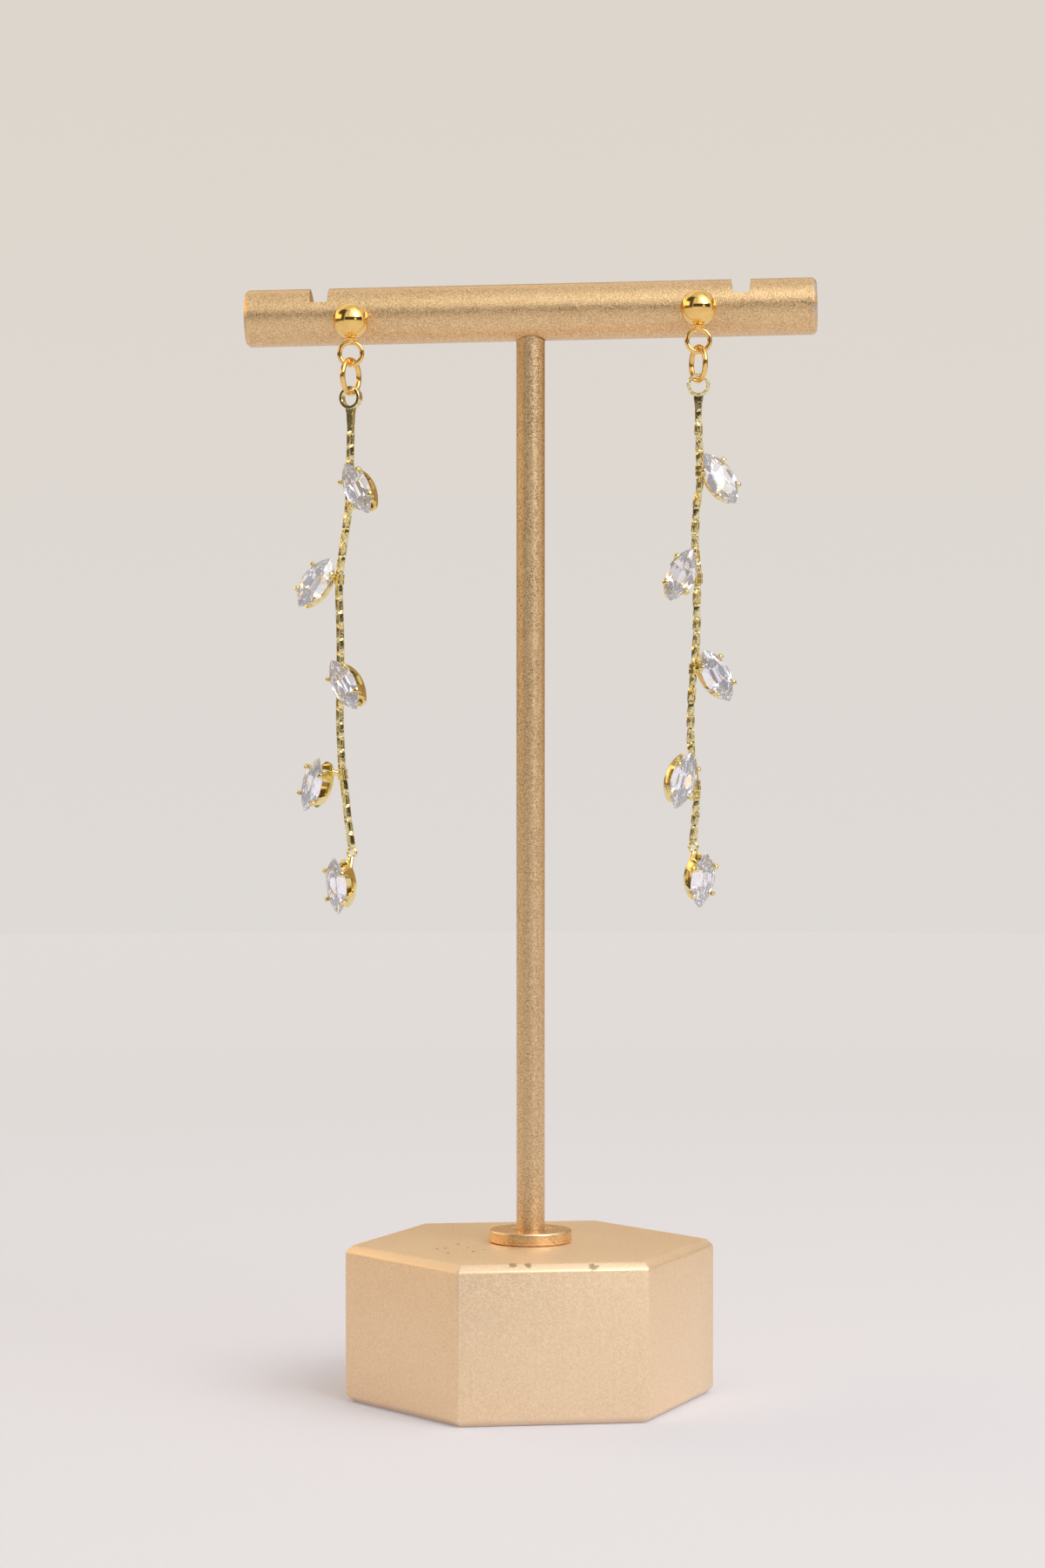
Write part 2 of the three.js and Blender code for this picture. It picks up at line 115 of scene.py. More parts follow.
@contextmanager
def editing(piece: bpy.types.Object) -> Iterator[None]:
    """Opens a piece in edit mode with nothing selected, and closes it again.

    Args:
        piece: the piece to open.
    """
    only(piece)
    bpy.ops.object.mode_set(mode="EDIT")
    bpy.ops.mesh.select_mode(type=Pick.CORNERS.value)
    bpy.ops.mesh.select_all(action="DESELECT")
    yield
    bpy.ops.object.mode_set(mode="OBJECT")


def pick(piece: bpy.types.Object, what: Pick, test: Callable[..., bool]) -> None:
    """Selects the corners, edges or faces of the open piece that pass a test.

    Args:
        piece: the piece that is open in edit mode.
        what: the kind of element.
        test: says of one element whether it is wanted.
    """
    bpy.ops.mesh.select_mode(type=what.value)
    bpy.ops.mesh.select_all(action="DESELECT")
    mesh = bmesh.from_edit_mesh(piece.data)
    items = {Pick.CORNERS: mesh.verts, Pick.EDGES: mesh.edges, Pick.FACES: mesh.faces}[what]
    for item in items:
        if test(item):
            item.select_set(True)
    bmesh.update_edit_mesh(piece.data)


def made(name: str) -> bpy.types.Object:
    """Names the primitive that was just added, and fixes its place in its mesh.

    Args:
        name: the piece's name.

    Returns:
        The new piece, the only one selected.
    """
    piece = bpy.context.object
    piece.name = name
    only(piece)
    bpy.ops.object.transform_apply()
    return piece


def point(name: str, place: Vector) -> bpy.types.Object:
    """A piece that is one corner, to be extruded.

    Args:
        name: the piece's name.
        place: where the corner is.

    Returns:
        The new piece.
    """
    bpy.ops.mesh.primitive_plane_add(size=1)
    piece = made(name)
    with editing(piece):
        bpy.ops.mesh.select_all(action="SELECT")
        bpy.ops.mesh.merge(type="CENTER")
        bpy.ops.transform.translate(value=place)
    return piece


def tidy(piece: bpy.types.Object) -> bpy.types.Object:
    """Merges doubled corners and turns all the faces outwards.

    Args:
        piece: the piece to tidy.

    Returns:
        The same piece.
    """
    with editing(piece):
        bpy.ops.mesh.select_all(action="SELECT")
        bpy.ops.mesh.remove_doubles(threshold=MERGE_GAP)
        bpy.ops.mesh.normals_make_consistent(inside=False)
    return piece


def turned(name: str, profile: Profile, steps: int) -> bpy.types.Object:
    """A shape turned about Z, as on a lathe.

    Args:
        name: the piece's name.
        profile: the outline as (radius, height), from axis to axis or closed on itself.
        steps: how many steps make the full turn.

    Returns:
        The new piece.
    """
    piece = point(name, Vector((profile[0][0], 0, profile[0][1])))
    with editing(piece):
        bpy.ops.mesh.select_all(action="SELECT")
        for (radius, height), (next_radius, next_height) in pairwise(profile):
            shift = (next_radius - radius, 0, next_height - height)
            bpy.ops.mesh.extrude_vertices_move(TRANSFORM_OT_translate={"value": shift})
        bpy.ops.mesh.select_all(action="SELECT")
        bpy.ops.mesh.spin(steps=steps, angle=FULL_TURN, center=ORIGIN, axis=Z_AXIS)
    return tidy(piece)


def arc(radius: float, centre: tuple[float, float], start: float, end: float, steps: int) -> Profile:
    """Points of a circular arc in a profile.

    Args:
        radius: the arc's radius.
        centre: its centre as (radius, height).
        start: the first angle in degrees, from level and rising.
        end: the last angle in degrees.
        steps: the number of steps between them.

    Returns:
        The points as (radius, height).
    """
    out, up = centre
    angles = [math.radians(start + (end - start) * step / steps) for step in range(steps + 1)]
    return [(out + radius * math.cos(angle), up + radius * math.sin(angle)) for angle in angles]


def block(name: str, size: Sequence[float], centre: Sequence[float], flare: float = 1.0) -> bpy.types.Object:
    """A block whose top face may be wider along X, to cut or to weld.

    Args:
        name: the piece's name.
        size: its size along X, Y and Z.
        centre: its centre.
        flare: the width of the top face along X, over that of the foot.

    Returns:
        The new piece.
    """
    bpy.ops.mesh.primitive_cube_add(size=1, location=centre, scale=size)
    piece = made(name)
    if flare != 1.0:
        with editing(piece):
            pick(piece, Pick.FACES, lambda face: face.normal.z > 0.9)
            bpy.ops.transform.resize(value=(flare, 1, 1), center_override=centre)
    return piece


def work(piece: bpy.types.Object, tool: bpy.types.Object, how: Work) -> None:
    """Cuts a solid out of a piece, or welds it on, and removes the tool.

    Args:
        piece: the solid that stays.
        tool: the solid that is used up.
        how: cut or weld.
    """
    only(piece)
    bpy.ops.object.modifier_add(type="BOOLEAN")
    modifier = piece.modifiers[-1]
    modifier.operation = how.value
    modifier.solver = "EXACT"
    modifier.object = tool
    bpy.ops.object.modifier_apply(modifier=modifier.name)
    bpy.data.objects.remove(tool)


def soften(piece: bpy.types.Object, width: float, segments: int, angle: float) -> None:
    """Rounds the edges of a piece that turn by more than an angle.

    Args:
        piece: the piece to round.
        width: the bevel's width.
        segments: the bevel's steps.
        angle: the smallest turn between two faces, in degrees, that counts as an edge.
    """
    only(piece)
    bpy.ops.object.modifier_add(type="BEVEL")
    modifier = piece.modifiers[-1]
    modifier.width = width
    modifier.segments = segments
    modifier.limit_method = "ANGLE"
    modifier.angle_limit = math.radians(angle)
    bpy.ops.object.modifier_apply(modifier=modifier.name)


def smooth(piece: bpy.types.Object, angle: float) -> None:
    """Shades a piece smooth, apart from edges sharper than an angle.

    Args:
        piece: the piece to shade.
        angle: the sharpest smooth edge, in degrees.
    """
    only(piece)
    bpy.ops.object.shade_smooth_by_angle(angle=math.radians(angle))


def place(piece: bpy.types.Object, matrix: Matrix) -> bpy.types.Object:
    """Moves a piece, and fixes the move in its mesh.

    Args:
        piece: the piece to move.
        matrix: the move.

    Returns:
        The same piece.
    """
    piece.matrix_world = matrix
    only(piece)
    bpy.ops.object.transform_apply()
    return piece


def aimed(start: Vector, direction: Vector) -> Matrix:
    """The move that takes Z to a direction and the origin to a point.

    Args:
        start: the new origin.
        direction: the new Z.

    Returns:
        The move.
    """
    return Matrix.Translation(start) @ direction.to_track_quat("Z", "Y").to_matrix().to_4x4()


def rod(name: str, start: Vector, end: Vector, radius: float, sides: int) -> bpy.types.Object:
    """A round bar between two points, with a slight round at both ends.

    Args:
        name: the piece's name.
        start: the centre of one end.
        end: the centre of the other.
        radius: its radius.
        sides: the number of its sides.

    Returns:
        The new piece.
    """
    length = (end - start).length
    lip = 0.12 * radius
    profile = [(0, 0), (radius - lip, 0), (radius, lip), (radius, length - lip), (radius - lip, length)]
    return place(turned(name, [*profile, (0, length)], sides), aimed(start, end - start))


def twin(master: bpy.types.Object, name: str, matrix: Matrix) -> bpy.types.Object:
    """A copy of a piece with its own mesh, in a place of its own.

    Args:
        master: the piece to copy.
        name: the copy's name.
        matrix: the move from the master's place to the copy's.

    Returns:
        The copy.
    """
    only(master)
    bpy.ops.object.duplicate()
    copy = bpy.context.object
    copy.name = name
    return place(copy, matrix)


def joined(name: str, pieces: Sequence[bpy.types.Object]) -> bpy.types.Object:
    """Joins pieces into one.

    Args:
        name: the joined piece's name.
        pieces: the pieces, which are used up.

    Returns:
        The joined piece.
    """
    only(pieces[0])
    for piece in pieces:
        piece.select_set(True)
    bpy.ops.object.join()
    pieces[0].name = name
    return pieces[0]


# ---------------------------------------------------------------- places read from the frame


def node_corners(node: str) -> np.ndarray:
    """The corners of a CAD node, each once, in millimetres.

    Args:
        node: the node's name.

    Returns:
        One row for each corner.
    """
    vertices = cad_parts[node].data.vertices
    corners = {tuple(round(number / MM, 3) for number in vertex.co) for vertex in vertices}
    return np.array(sorted(corners))


def node_box(node: str) -> tuple[Vector, Vector]:
    """The lowest and highest corner of a CAD node, in millimetres.

    Args:
        node: the node's name.

    Returns:
        The two corners.
    """
    low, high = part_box(node)
    return low / MM, high / MM


def stone_place(node: str, crown: float) -> Matrix:
    """The place of a stone: X towards its lower tip, Z out of its table, origin amid its girdle.

    Args:
        node: the stone's CAD node.
        crown: the height of its table above the middle of its girdle.

    Returns:
        The move from the stone's own frame, in millimetres.
    """
    corners = node_corners(node)
    middle = corners.mean(axis=0)
    # The corners spread least across the table and most along the stone.
    axes = np.linalg.eigh(np.cov((corners - middle).T))[1].T
    facing = Vector(axes[0] if axes[0][1] < 0 else -axes[0])
    length = Vector(axes[2] if axes[2][2] < 0 else -axes[2])
    width = facing.cross(length)
    top = max(facing.dot(Vector(corner)) for corner in corners)
    centre = Vector(middle) + facing * (top - crown - facing.dot(Vector(middle)))
    return Matrix.Translation(centre) @ Matrix((length, width, facing)).transposed().to_4x4()


@dataclass
class CentreLine:
    """The smooth line along a CAD tube, from its top to its foot.

    Attributes:
        node: the tube's CAD node.
        sides: the number of corners round the tube.
    """

    node: str
    sides: int = 8
    stations: np.ndarray = field(init=False)
    reach: np.ndarray = field(init=False)

    def __post_init__(self) -> None:
        """Averages each ring of corners, and measures along them."""
        corners = node_corners(self.node)
        falling = corners[np.argsort(-corners[:, 2])]
        self.stations = falling.reshape(-1, self.sides, 3).mean(axis=1)
        steps = np.linalg.norm(np.diff(self.stations, axis=0), axis=1)
        self.reach = np.concatenate([[0.0], np.cumsum(steps)])

    @property
    def length(self) -> float:
        """The line's length."""
        return float(self.reach[-1])

    def at(self, distance: float) -> Vector:
        """The point at a distance from the top.

        Args:
            distance: the distance along the line.

        Returns:
            The point.
        """
        return Vector([float(np.interp(distance, self.reach, axis)) for axis in self.stations.T])

    def tangent(self, distance: float) -> Vector:
        """The downward direction at a distance from the top.

        Args:
            distance: the distance along the line.

        Returns:
            The direction.
        """
        span = 0.8
        return (self.at(distance + span) - self.at(distance - span)).normalized()

    def distance_at(self, height: float) -> float:
        """The distance from the top at which the line passes a height.

        Args:
            height: the height.

        Returns:
            The distance along the line.
        """
        return float(np.interp(-height, -self.stations[:, 2], self.reach))


# ---------------------------------------------------------------- finishes


class Wiring:
    """Shader nodes under way in one node tree: adds them and links them."""

    def __init__(self, tree: bpy.types.NodeTree) -> None:
        """Takes hold of a tree.

        Args:
            tree: the tree of a material or of the world.
        """
        self.nodes = tree.nodes
        self.links = tree.links

    def plug(self, source: Socket | float | Colour, socket: Socket) -> None:
        """Links a source to an input, or sets the input to a number or colour.

        Args:
            source: an output socket, a number, or a colour.
            socket: the input socket.
        """
        if isinstance(source, tuple):
            socket.default_value = (*source, 1.0)
        elif isinstance(source, float):
            socket.default_value = source
        else:
            self.links.new(source, socket)

    def worked(self, operation: str, first: Socket, second: Socket | float) -> Socket:
        """Works two values together.

        Args:
            operation: the Math node's operation.
            first: the first source.
            second: the second source, or a number.

        Returns:
            The output socket.
        """
        node = self.nodes.new("ShaderNodeMath")
        node.operation = operation
        for source, socket in zip((first, second), node.inputs):
            self.plug(source, socket)
        return node.outputs["Value"]

    def span(self, value: Socket, low: float, high: float, new_low: float, new_high: float) -> Socket:
        """Maps one span of values to another, held at both ends.

        Args:
            value: the source.
            low: the value that becomes new_low.
            high: the value that becomes new_high.
            new_low: the first result.
            new_high: the last result.

        Returns:
            The output socket.
        """
        node = self.nodes.new("ShaderNodeMapRange")
        for name, number in zip(("From Min", "From Max", "To Min", "To Max"), (low, high, new_low, new_high)):
            node.inputs[name].default_value = number
        self.links.new(value, node.inputs["Value"])
        return node.outputs["Result"]

    def within(self, angle: Socket, limits: tuple[float, float], border: float) -> Socket:
        """A soft mask: 1 between two angles, 0 outside them.

        Args:
            angle: the source of the angle, in radians.
            limits: the two angles, in degrees.
            border: half the width of the mask's border, in degrees.

        Returns:
            The output socket.
        """
        sides = []
        for limit, sign in zip(limits, BOTH):
            outside, inside = math.radians(limit - sign * border), math.radians(limit + sign * border)
            side = self.span(angle, outside, inside, 0.0, 1.0)
            side.node.interpolation_type = "SMOOTHSTEP"
            sides.append(side)
        return self.worked("MULTIPLY", *sides)

    def blend(self, factor: Socket, first: Socket | Colour, second: Socket | Colour) -> Socket:
        """Mixes two colours.

        Args:
            factor: the source of the share of the second.
            first: a colour, or a source.
            second: a colour, or a source.

        Returns:
            The output socket.
        """
        node = self.nodes.new("ShaderNodeMix")
        node.data_type = "RGBA"
        self.links.new(factor, node.inputs["Factor"])
        inputs = [socket for socket in node.inputs if socket.type == "RGBA"]
        for source, socket in zip((first, second), inputs):
            self.plug(source, socket)
        return next(socket for socket in node.outputs if socket.type == "RGBA")

    def parted(self, vector: Socket) -> bpy.types.NodeOutputs:
        """Parts a vector into its X, Y and Z.

        Args:
            vector: the source.

        Returns:
            The outputs, by the names X, Y and Z.
        """
        node = self.nodes.new("ShaderNodeSeparateXYZ")
        self.links.new(vector, node.inputs[0])
        return node.outputs


class Recipe(Wiring):
    """A material under way, round its Principled shader."""

    def __init__(self, name: str) -> None:
        """Starts an empty material.

        Args:
            name: the material's name.
        """
        self.material = bpy.data.materials.new(name)
        self.material.use_nodes = True
        super().__init__(self.material.node_tree)
        self.shader = self.nodes["Principled BSDF"]
        self.spot = self.nodes.new("ShaderNodeTexCoord").outputs["Object"]

    def set(self, **values: float | tuple[float, ...]) -> None:
        """Sets constants on the shader's own sockets, by name with _ for a space."""
        for name, value in values.items():
            self.shader.inputs[name.replace("_", " ")].default_value = value

    def feed(self, name: str, source: Socket) -> None:
        """Links a source to one of the shader's inputs."""
        self.links.new(source, self.shader.inputs[name])

    def noise(self, size: float, detail: float = 2.0, stretch: Sequence[float] = (1, 1, 1)) -> Socket:
        """A cloudy pattern.

        Args:
            size: the size of its clouds in millimetres.
            detail: how many finer layers it has.
            stretch: how much longer its clouds are along X, Y and Z.

        Returns:
            The output socket, about 0 to 1.
        """
        mapping = self.nodes.new("ShaderNodeMapping")
        mapping.inputs["Scale"].default_value = [1 / (size * MM * longer) for longer in stretch]
        self.links.new(self.spot, mapping.inputs["Vector"])
        noise = self.nodes.new("ShaderNodeTexNoise")
        noise.inputs["Scale"].default_value = 1.0
        noise.inputs["Detail"].default_value = detail
        self.links.new(mapping.outputs["Vector"], noise.inputs["Vector"])
        return noise.outputs["Fac"]

    def grains(self, size: float) -> Socket:
        """A sandy pattern with one random value for each grain.

        Args:
            size: the size of a grain in millimetres.

        Returns:
            The output socket, about 0 to 1.
        """
        cells = self.nodes.new("ShaderNodeTexVoronoi")
        cells.inputs["Scale"].default_value = 1 / (size * MM)
        self.links.new(self.spot, cells.inputs["Vector"])
        return cells.outputs["Color"]

    def away(self, place: Sequence[float]) -> Socket:
        """The distance from a place, in metres.

        Args:
            place: the place, in millimetres.

        Returns:
            The output socket.
        """
        node = self.nodes.new("ShaderNodeVectorMath")
        node.operation = "DISTANCE"
        self.links.new(self.spot, node.inputs[0])
        node.inputs[1].default_value = [number * MM for number in place]
        return node.outputs["Value"]

    def near(self, places: Spots, ragged: Socket) -> Socket:
        """Small spots with ragged rims.

        Args:
            places: centre and radius of each, in millimetres.
            ragged: a pattern that breaks up their rims.

        Returns:
            The output socket: 1 in a spot, 0 outside.
        """
        total = None
        for *place, radius in places:
            rim = radius * MM
            tear = self.span(ragged, 0.3, 0.7, -0.5 * rim, 0.5 * rim)
            spot = self.span(self.worked("ADD", self.away(place), tear), 0.75 * rim, rim, 1.0, 0.0)
            total = spot if total is None else self.worked("MAXIMUM", total, spot)
        return total

    def marked(self, name: str) -> Socket:
        """The share of a mark.

        Args:
            name: the mark's name, which is an attribute of the piece.

        Returns:
            The output socket: 1 on a marked face, 0 elsewhere.
        """
        node = self.nodes.new("ShaderNodeAttribute")
        node.attribute_name = name
        return node.outputs["Fac"]

    def bump(self, height: Socket, depth: float) -> None:
        """Raises the surface by a pattern.

        Args:
            height: the pattern.
            depth: the height in millimetres of a full step of it.
        """
        node = self.nodes.new("ShaderNodeBump")
        node.inputs["Distance"].default_value = depth * MM
        if self.shader.inputs["Normal"].is_linked:
            self.links.new(self.shader.inputs["Normal"].links[0].from_socket, node.inputs["Normal"])
        self.links.new(height, node.inputs["Height"])
        self.feed("Normal", node.outputs["Normal"])


@dataclass(frozen=True)
class SandedGold:
    """Sand-blasted champagne gold plating on the stand.

    Attributes:
        name: the material's name.
        pale: the lighter gold.
        deep: the darker gold.
        grain_depth: the height of the blasted grain, in millimetres.
        sparkle: how much the grain changes the colour, 0 to 1.
        roughness: the mean roughness.
        grain: the size of the grain, in millimetres.
        cloud: the size of the small clouds of rubbed plating, in millimetres.
        tone: the size of the broad changes of tone, in millimetres.
        metal: how metallic the plating looks; the rest is a fine matt skin.
        rubbed: the colour of the plating where it is rubbed.
        chips: centre and radius of each chip in the plating, in millimetres.
        bare: the colour of what shows in the chips.
        specks: centre and radius of each dark speck, in millimetres.
        dirt: the colour of the specks.
    """

    name: str
    pale: Colour
    deep: Colour
    grain_depth: float
    sparkle: float
    roughness: float
    grain: float = 0.13
    cloud: float = 2.5
    tone: float = 14.0
    metal: float = 1.0
    rubbed: Colour = (0.93, 0.74, 0.52)
    chips: Spots = ()
    bare: Colour = (0.62, 0.60, 0.58)
    specks: Spots = ()
    dirt: Colour = (0.10, 0.07, 0.04)

    def mix(self) -> bpy.types.Material:
        """Builds the material.

        Returns:
            The material.
        """
        recipe = Recipe(self.name)
        recipe.set(Metallic=self.metal, Coat_Weight=0.35, Coat_Roughness=0.35, Coat_IOR=1.5)
        grain = recipe.grains(self.grain)
        mottle = recipe.noise(self.cloud, 2.0)
        reach = 0.42 - 0.25 * self.sparkle
        gold = recipe.blend(recipe.span(grain, 0.5 - reach, 0.5 + reach, 0.0, 1.0), self.deep, self.pale)
        fading = recipe.span(recipe.noise(self.tone, 1.0), 0.35, 0.65, 0.0, 0.18)
        faded = recipe.blend(fading, gold, self.pale)
        worn = recipe.worked("MULTIPLY", recipe.marked(WEAR), recipe.span(mottle, 0.4, 0.62, 0.15, 0.75))
        colour = recipe.blend(worn, faded, self.rubbed)
        for spots, rim, shade in ((self.chips, 0.25, self.bare), (self.specks, 0.2, self.dirt)):
            if spots:
                colour = recipe.blend(recipe.near(spots, recipe.noise(rim)), colour, shade)
        recipe.feed("Base Color", colour)
        rough_grain = recipe.span(grain, 0.3, 0.7, -0.07, 0.07)
        rough_mottle = recipe.span(mottle, 0.3, 0.7, -0.03, 0.03)
        rough = recipe.worked("ADD", rough_grain, rough_mottle)
        recipe.feed("Roughness", recipe.worked("ADD", rough, self.roughness))
        recipe.bump(recipe.noise(1.3 * self.grain, 2.0), self.grain_depth)
        recipe.bump(mottle, 0.015)
        return recipe.material


@dataclass(frozen=True)
class BrightGold:
    """Polished gold plating, with fine tumbling marks.

    Attributes:
        name: the material's name.
        bright: the clean gold.
        film_and_shade: the gold where a thin film has gathered; where it is far darker, as on the chain, it
            is painted shade.
        roughness: the roughness where it is cleanest.
        film: how much rougher the film is.
        film_size: the size of its patches, in millimetres.
        film_and_shade_share: how much of that colour shows where the patches are thickest, 0 to 1.
        mark_size: the size of the tumbling marks, in millimetres.
        mark_depth: their depth, in millimetres.
        ripple: the depth of the broader unevenness, in millimetres.
        ripple_size: its size, in millimetres.
    """

    name: str
    bright: Colour
    film_and_shade: Colour
    roughness: float = 0.05
    film: float = 0.08
    film_size: float = 0.7
    film_and_shade_share: float = 0.8
    mark_size: float = 0.12
    mark_depth: float = 0.0004
    ripple: float = 0.002
    ripple_size: float = 1.1

    def mix(self) -> bpy.types.Material:
        """Builds the material.

        Returns:
            The material.
        """
        recipe = Recipe(self.name)
        recipe.set(Metallic=1.0)
        film = recipe.noise(self.film_size, 3.0)
        # Film patches; where their colour is dark, as on the chain, they are painted shade and painted dark
        # reflection among the links.
        cover = recipe.span(film, 0.47, 0.68, 0.0, self.film_and_shade_share)
        recipe.feed("Base Color", recipe.blend(cover, self.bright, self.film_and_shade))
        smears = recipe.span(film, 0.4, 0.8, self.roughness, self.roughness + self.film)
        recipe.feed("Roughness", smears)
        recipe.bump(recipe.noise(self.mark_size, 3.0, (1, 1, 2.5)), self.mark_depth)
        recipe.bump(recipe.noise(self.ripple_size, 1.0), self.ripple)
        return recipe.material


@dataclass(frozen=True)
class ClearStone:
    """Clear faceted cubic zirconia with a bright keel, faint polishing marks, a trace of dust, a painted gold
    reflection on some keel facets and a faint painted glow.

    Attributes:
        name: the material's name.
        tint: the colour of what passes through it.
        painted_gold_reflection: a painted reflection of the gold cup, laid as colour on patches of the keel
            facets.
        dusty: the colour of the dust.
        glow: the colour of a faint painted glow, which the stone emits though it is no lamp.
        painted_glow_strength: the strength of that painted glow.
        index: its refractive index.
        fire: the share of the light that its keel facets throw back as a mirror.
    """

    name: str
    tint: Colour = (0.955, 0.955, 1.0)
    painted_gold_reflection: Colour = (0.98, 0.84, 0.60)
    dusty: Colour = (0.93, 0.93, 0.97)
    glow: Colour = (0.96, 0.95, 1.0)
    painted_glow_strength: float = 0.06
    index: float = 2.0
    fire: float = 0.9

    def mix(self) -> bpy.types.Material:
        """Builds the material.

        Returns:
            The material.
        """
        recipe = Recipe(self.name)
        # Painted glow: the stone emits a faint light of its own, though it is no lamp, so that it looks
        # brighter.
        recipe.set(IOR=self.index, Emission_Color=(*self.glow, 1.0), Emission_Strength=self.painted_glow_strength)
        keel = recipe.marked(KEEL)
        dust = recipe.noise(0.5, 3.0)
        body = recipe.blend(recipe.span(dust, 0.5, 0.8, 0.0, 1.0), self.tint, self.dusty)
        # Painted reflection: patches of the keel facets are tinted with the gold of the cup round the stone.
        gold_reflection_share = recipe.worked("MULTIPLY", keel, recipe.span(recipe.noise(1.1, 1.0), 0.53, 0.62, 0.0, 0.85))
        recipe.feed("Base Color", recipe.blend(gold_reflection_share, body, self.painted_gold_reflection))
        recipe.feed("Metallic", recipe.span(keel, 0.0, 1.0, 0.0, self.fire))
        recipe.feed("Transmission Weight", recipe.span(keel, 0.0, 1.0, 1.0, 0.0))
        recipe.feed("Roughness", recipe.span(dust, 0.55, 0.8, 0.0, 0.06))
        recipe.bump(recipe.noise(0.3, 2.0), 0.0006)
        return recipe.material


@dataclass(frozen=True)
class WallGlow:
    """The plain wall, which glows softly and is a little warmer higher up.

    Attributes:
        name: the material's name.
        low: the glow at the floor.
        high: the glow high up.
        top: the height from which the glow is all high, in millimetres.
    """

    name: str
    low: Colour = (0.735, 0.700, 0.670)
    high: Colour = (0.725, 0.670, 0.600)
    top: float = 400.0

    def mix(self) -> bpy.types.Material:
        """Builds the material.

        Returns:
            The material.
        """
        recipe = Recipe(self.name)
        recipe.set(Base_Color=(0, 0, 0, 1), Specular_IOR_Level=0.0, Emission_Strength=1.0)
        rise = recipe.span(recipe.parted(recipe.spot)["Z"], 0.0, self.top * MM, 0.0, 1.0)
        recipe.feed("Emission Color", recipe.blend(rise, self.low, self.high))
        return recipe.material


@dataclass(frozen=True)
class FloorCard:
    """The matt floor card, which turns into the wall's glow away from the stand.

    Attributes:
        name: the material's name.
        matt: the colour of the card near the stand.
        lift: the light that comes through it there.
        glow: the glow far from it.
        near: the distance from the stand at which the glow starts, in millimetres.
        far: the distance at which there is only glow, in millimetres.
        fibre: the colour of the fibres in the card.
    """

    name: str
    matt: Colour = (0.70, 0.69, 0.70)
    lift: Colour = (0.10, 0.115, 0.17)
    glow: Colour = (0.735, 0.700, 0.670)
    fibre: Colour = (0.5, 0.5, 0.5)
    near: float = 120.0
    far: float = 500.0

    def mix(self) -> bpy.types.Material:
        """Builds the material.

        Returns:
            The material.
        """
        recipe = Recipe(self.name)
        recipe.set(Roughness=0.9, Specular_IOR_Level=0.1, Emission_Strength=1.0)
        share = recipe.span(recipe.away(ORIGIN), self.near * MM, self.far * MM, 0.0, 1.0)
        card = recipe.blend(recipe.span(recipe.noise(0.6, 2.0), 0.3, 0.7, 0.0, 0.05), self.matt, self.fibre)
        recipe.feed("Base Color", recipe.blend(share, card, (0.0, 0.0, 0.0)))
        recipe.feed("Emission Color", recipe.blend(share, self.lift, self.glow))
        return recipe.material


# ---------------------------------------------------------------- handing a piece over


def hand_over(piece: bpy.types.Object, node: str, finish: bpy.types.Material) -> None:
    """Brings a finished piece to metres, dresses it and lets it stand for its CAD node.

    Args:
        piece: the finished piece, in millimetres.
        node: the CAD node that it replaces.
        finish: its material.
    """
    place(piece, Matrix.Scale(MM, 4))
    piece.data.materials.clear()
    piece.data.materials.append(finish)
    piece.name = f"{node}_finished"
    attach(piece, BODY)
    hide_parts(node)
    log.info("%s: %d faces", piece.name, len(piece.data.polygons))


def mark(piece: bpy.types.Object, name: str, test: Callable[..., bool]) -> None:
    """Marks some faces of a piece, for its finish.

    Args:
        piece: the piece.
        name: the mark's name.
        test: says of one face whether it has the mark.
    """
    marks = piece.data.attributes.new(name, "FLOAT", "FACE")
    marks.data.foreach_set("value", [1.0 if test(face) else 0.0 for face in piece.data.polygons])


# ---------------------------------------------------------------- the stand


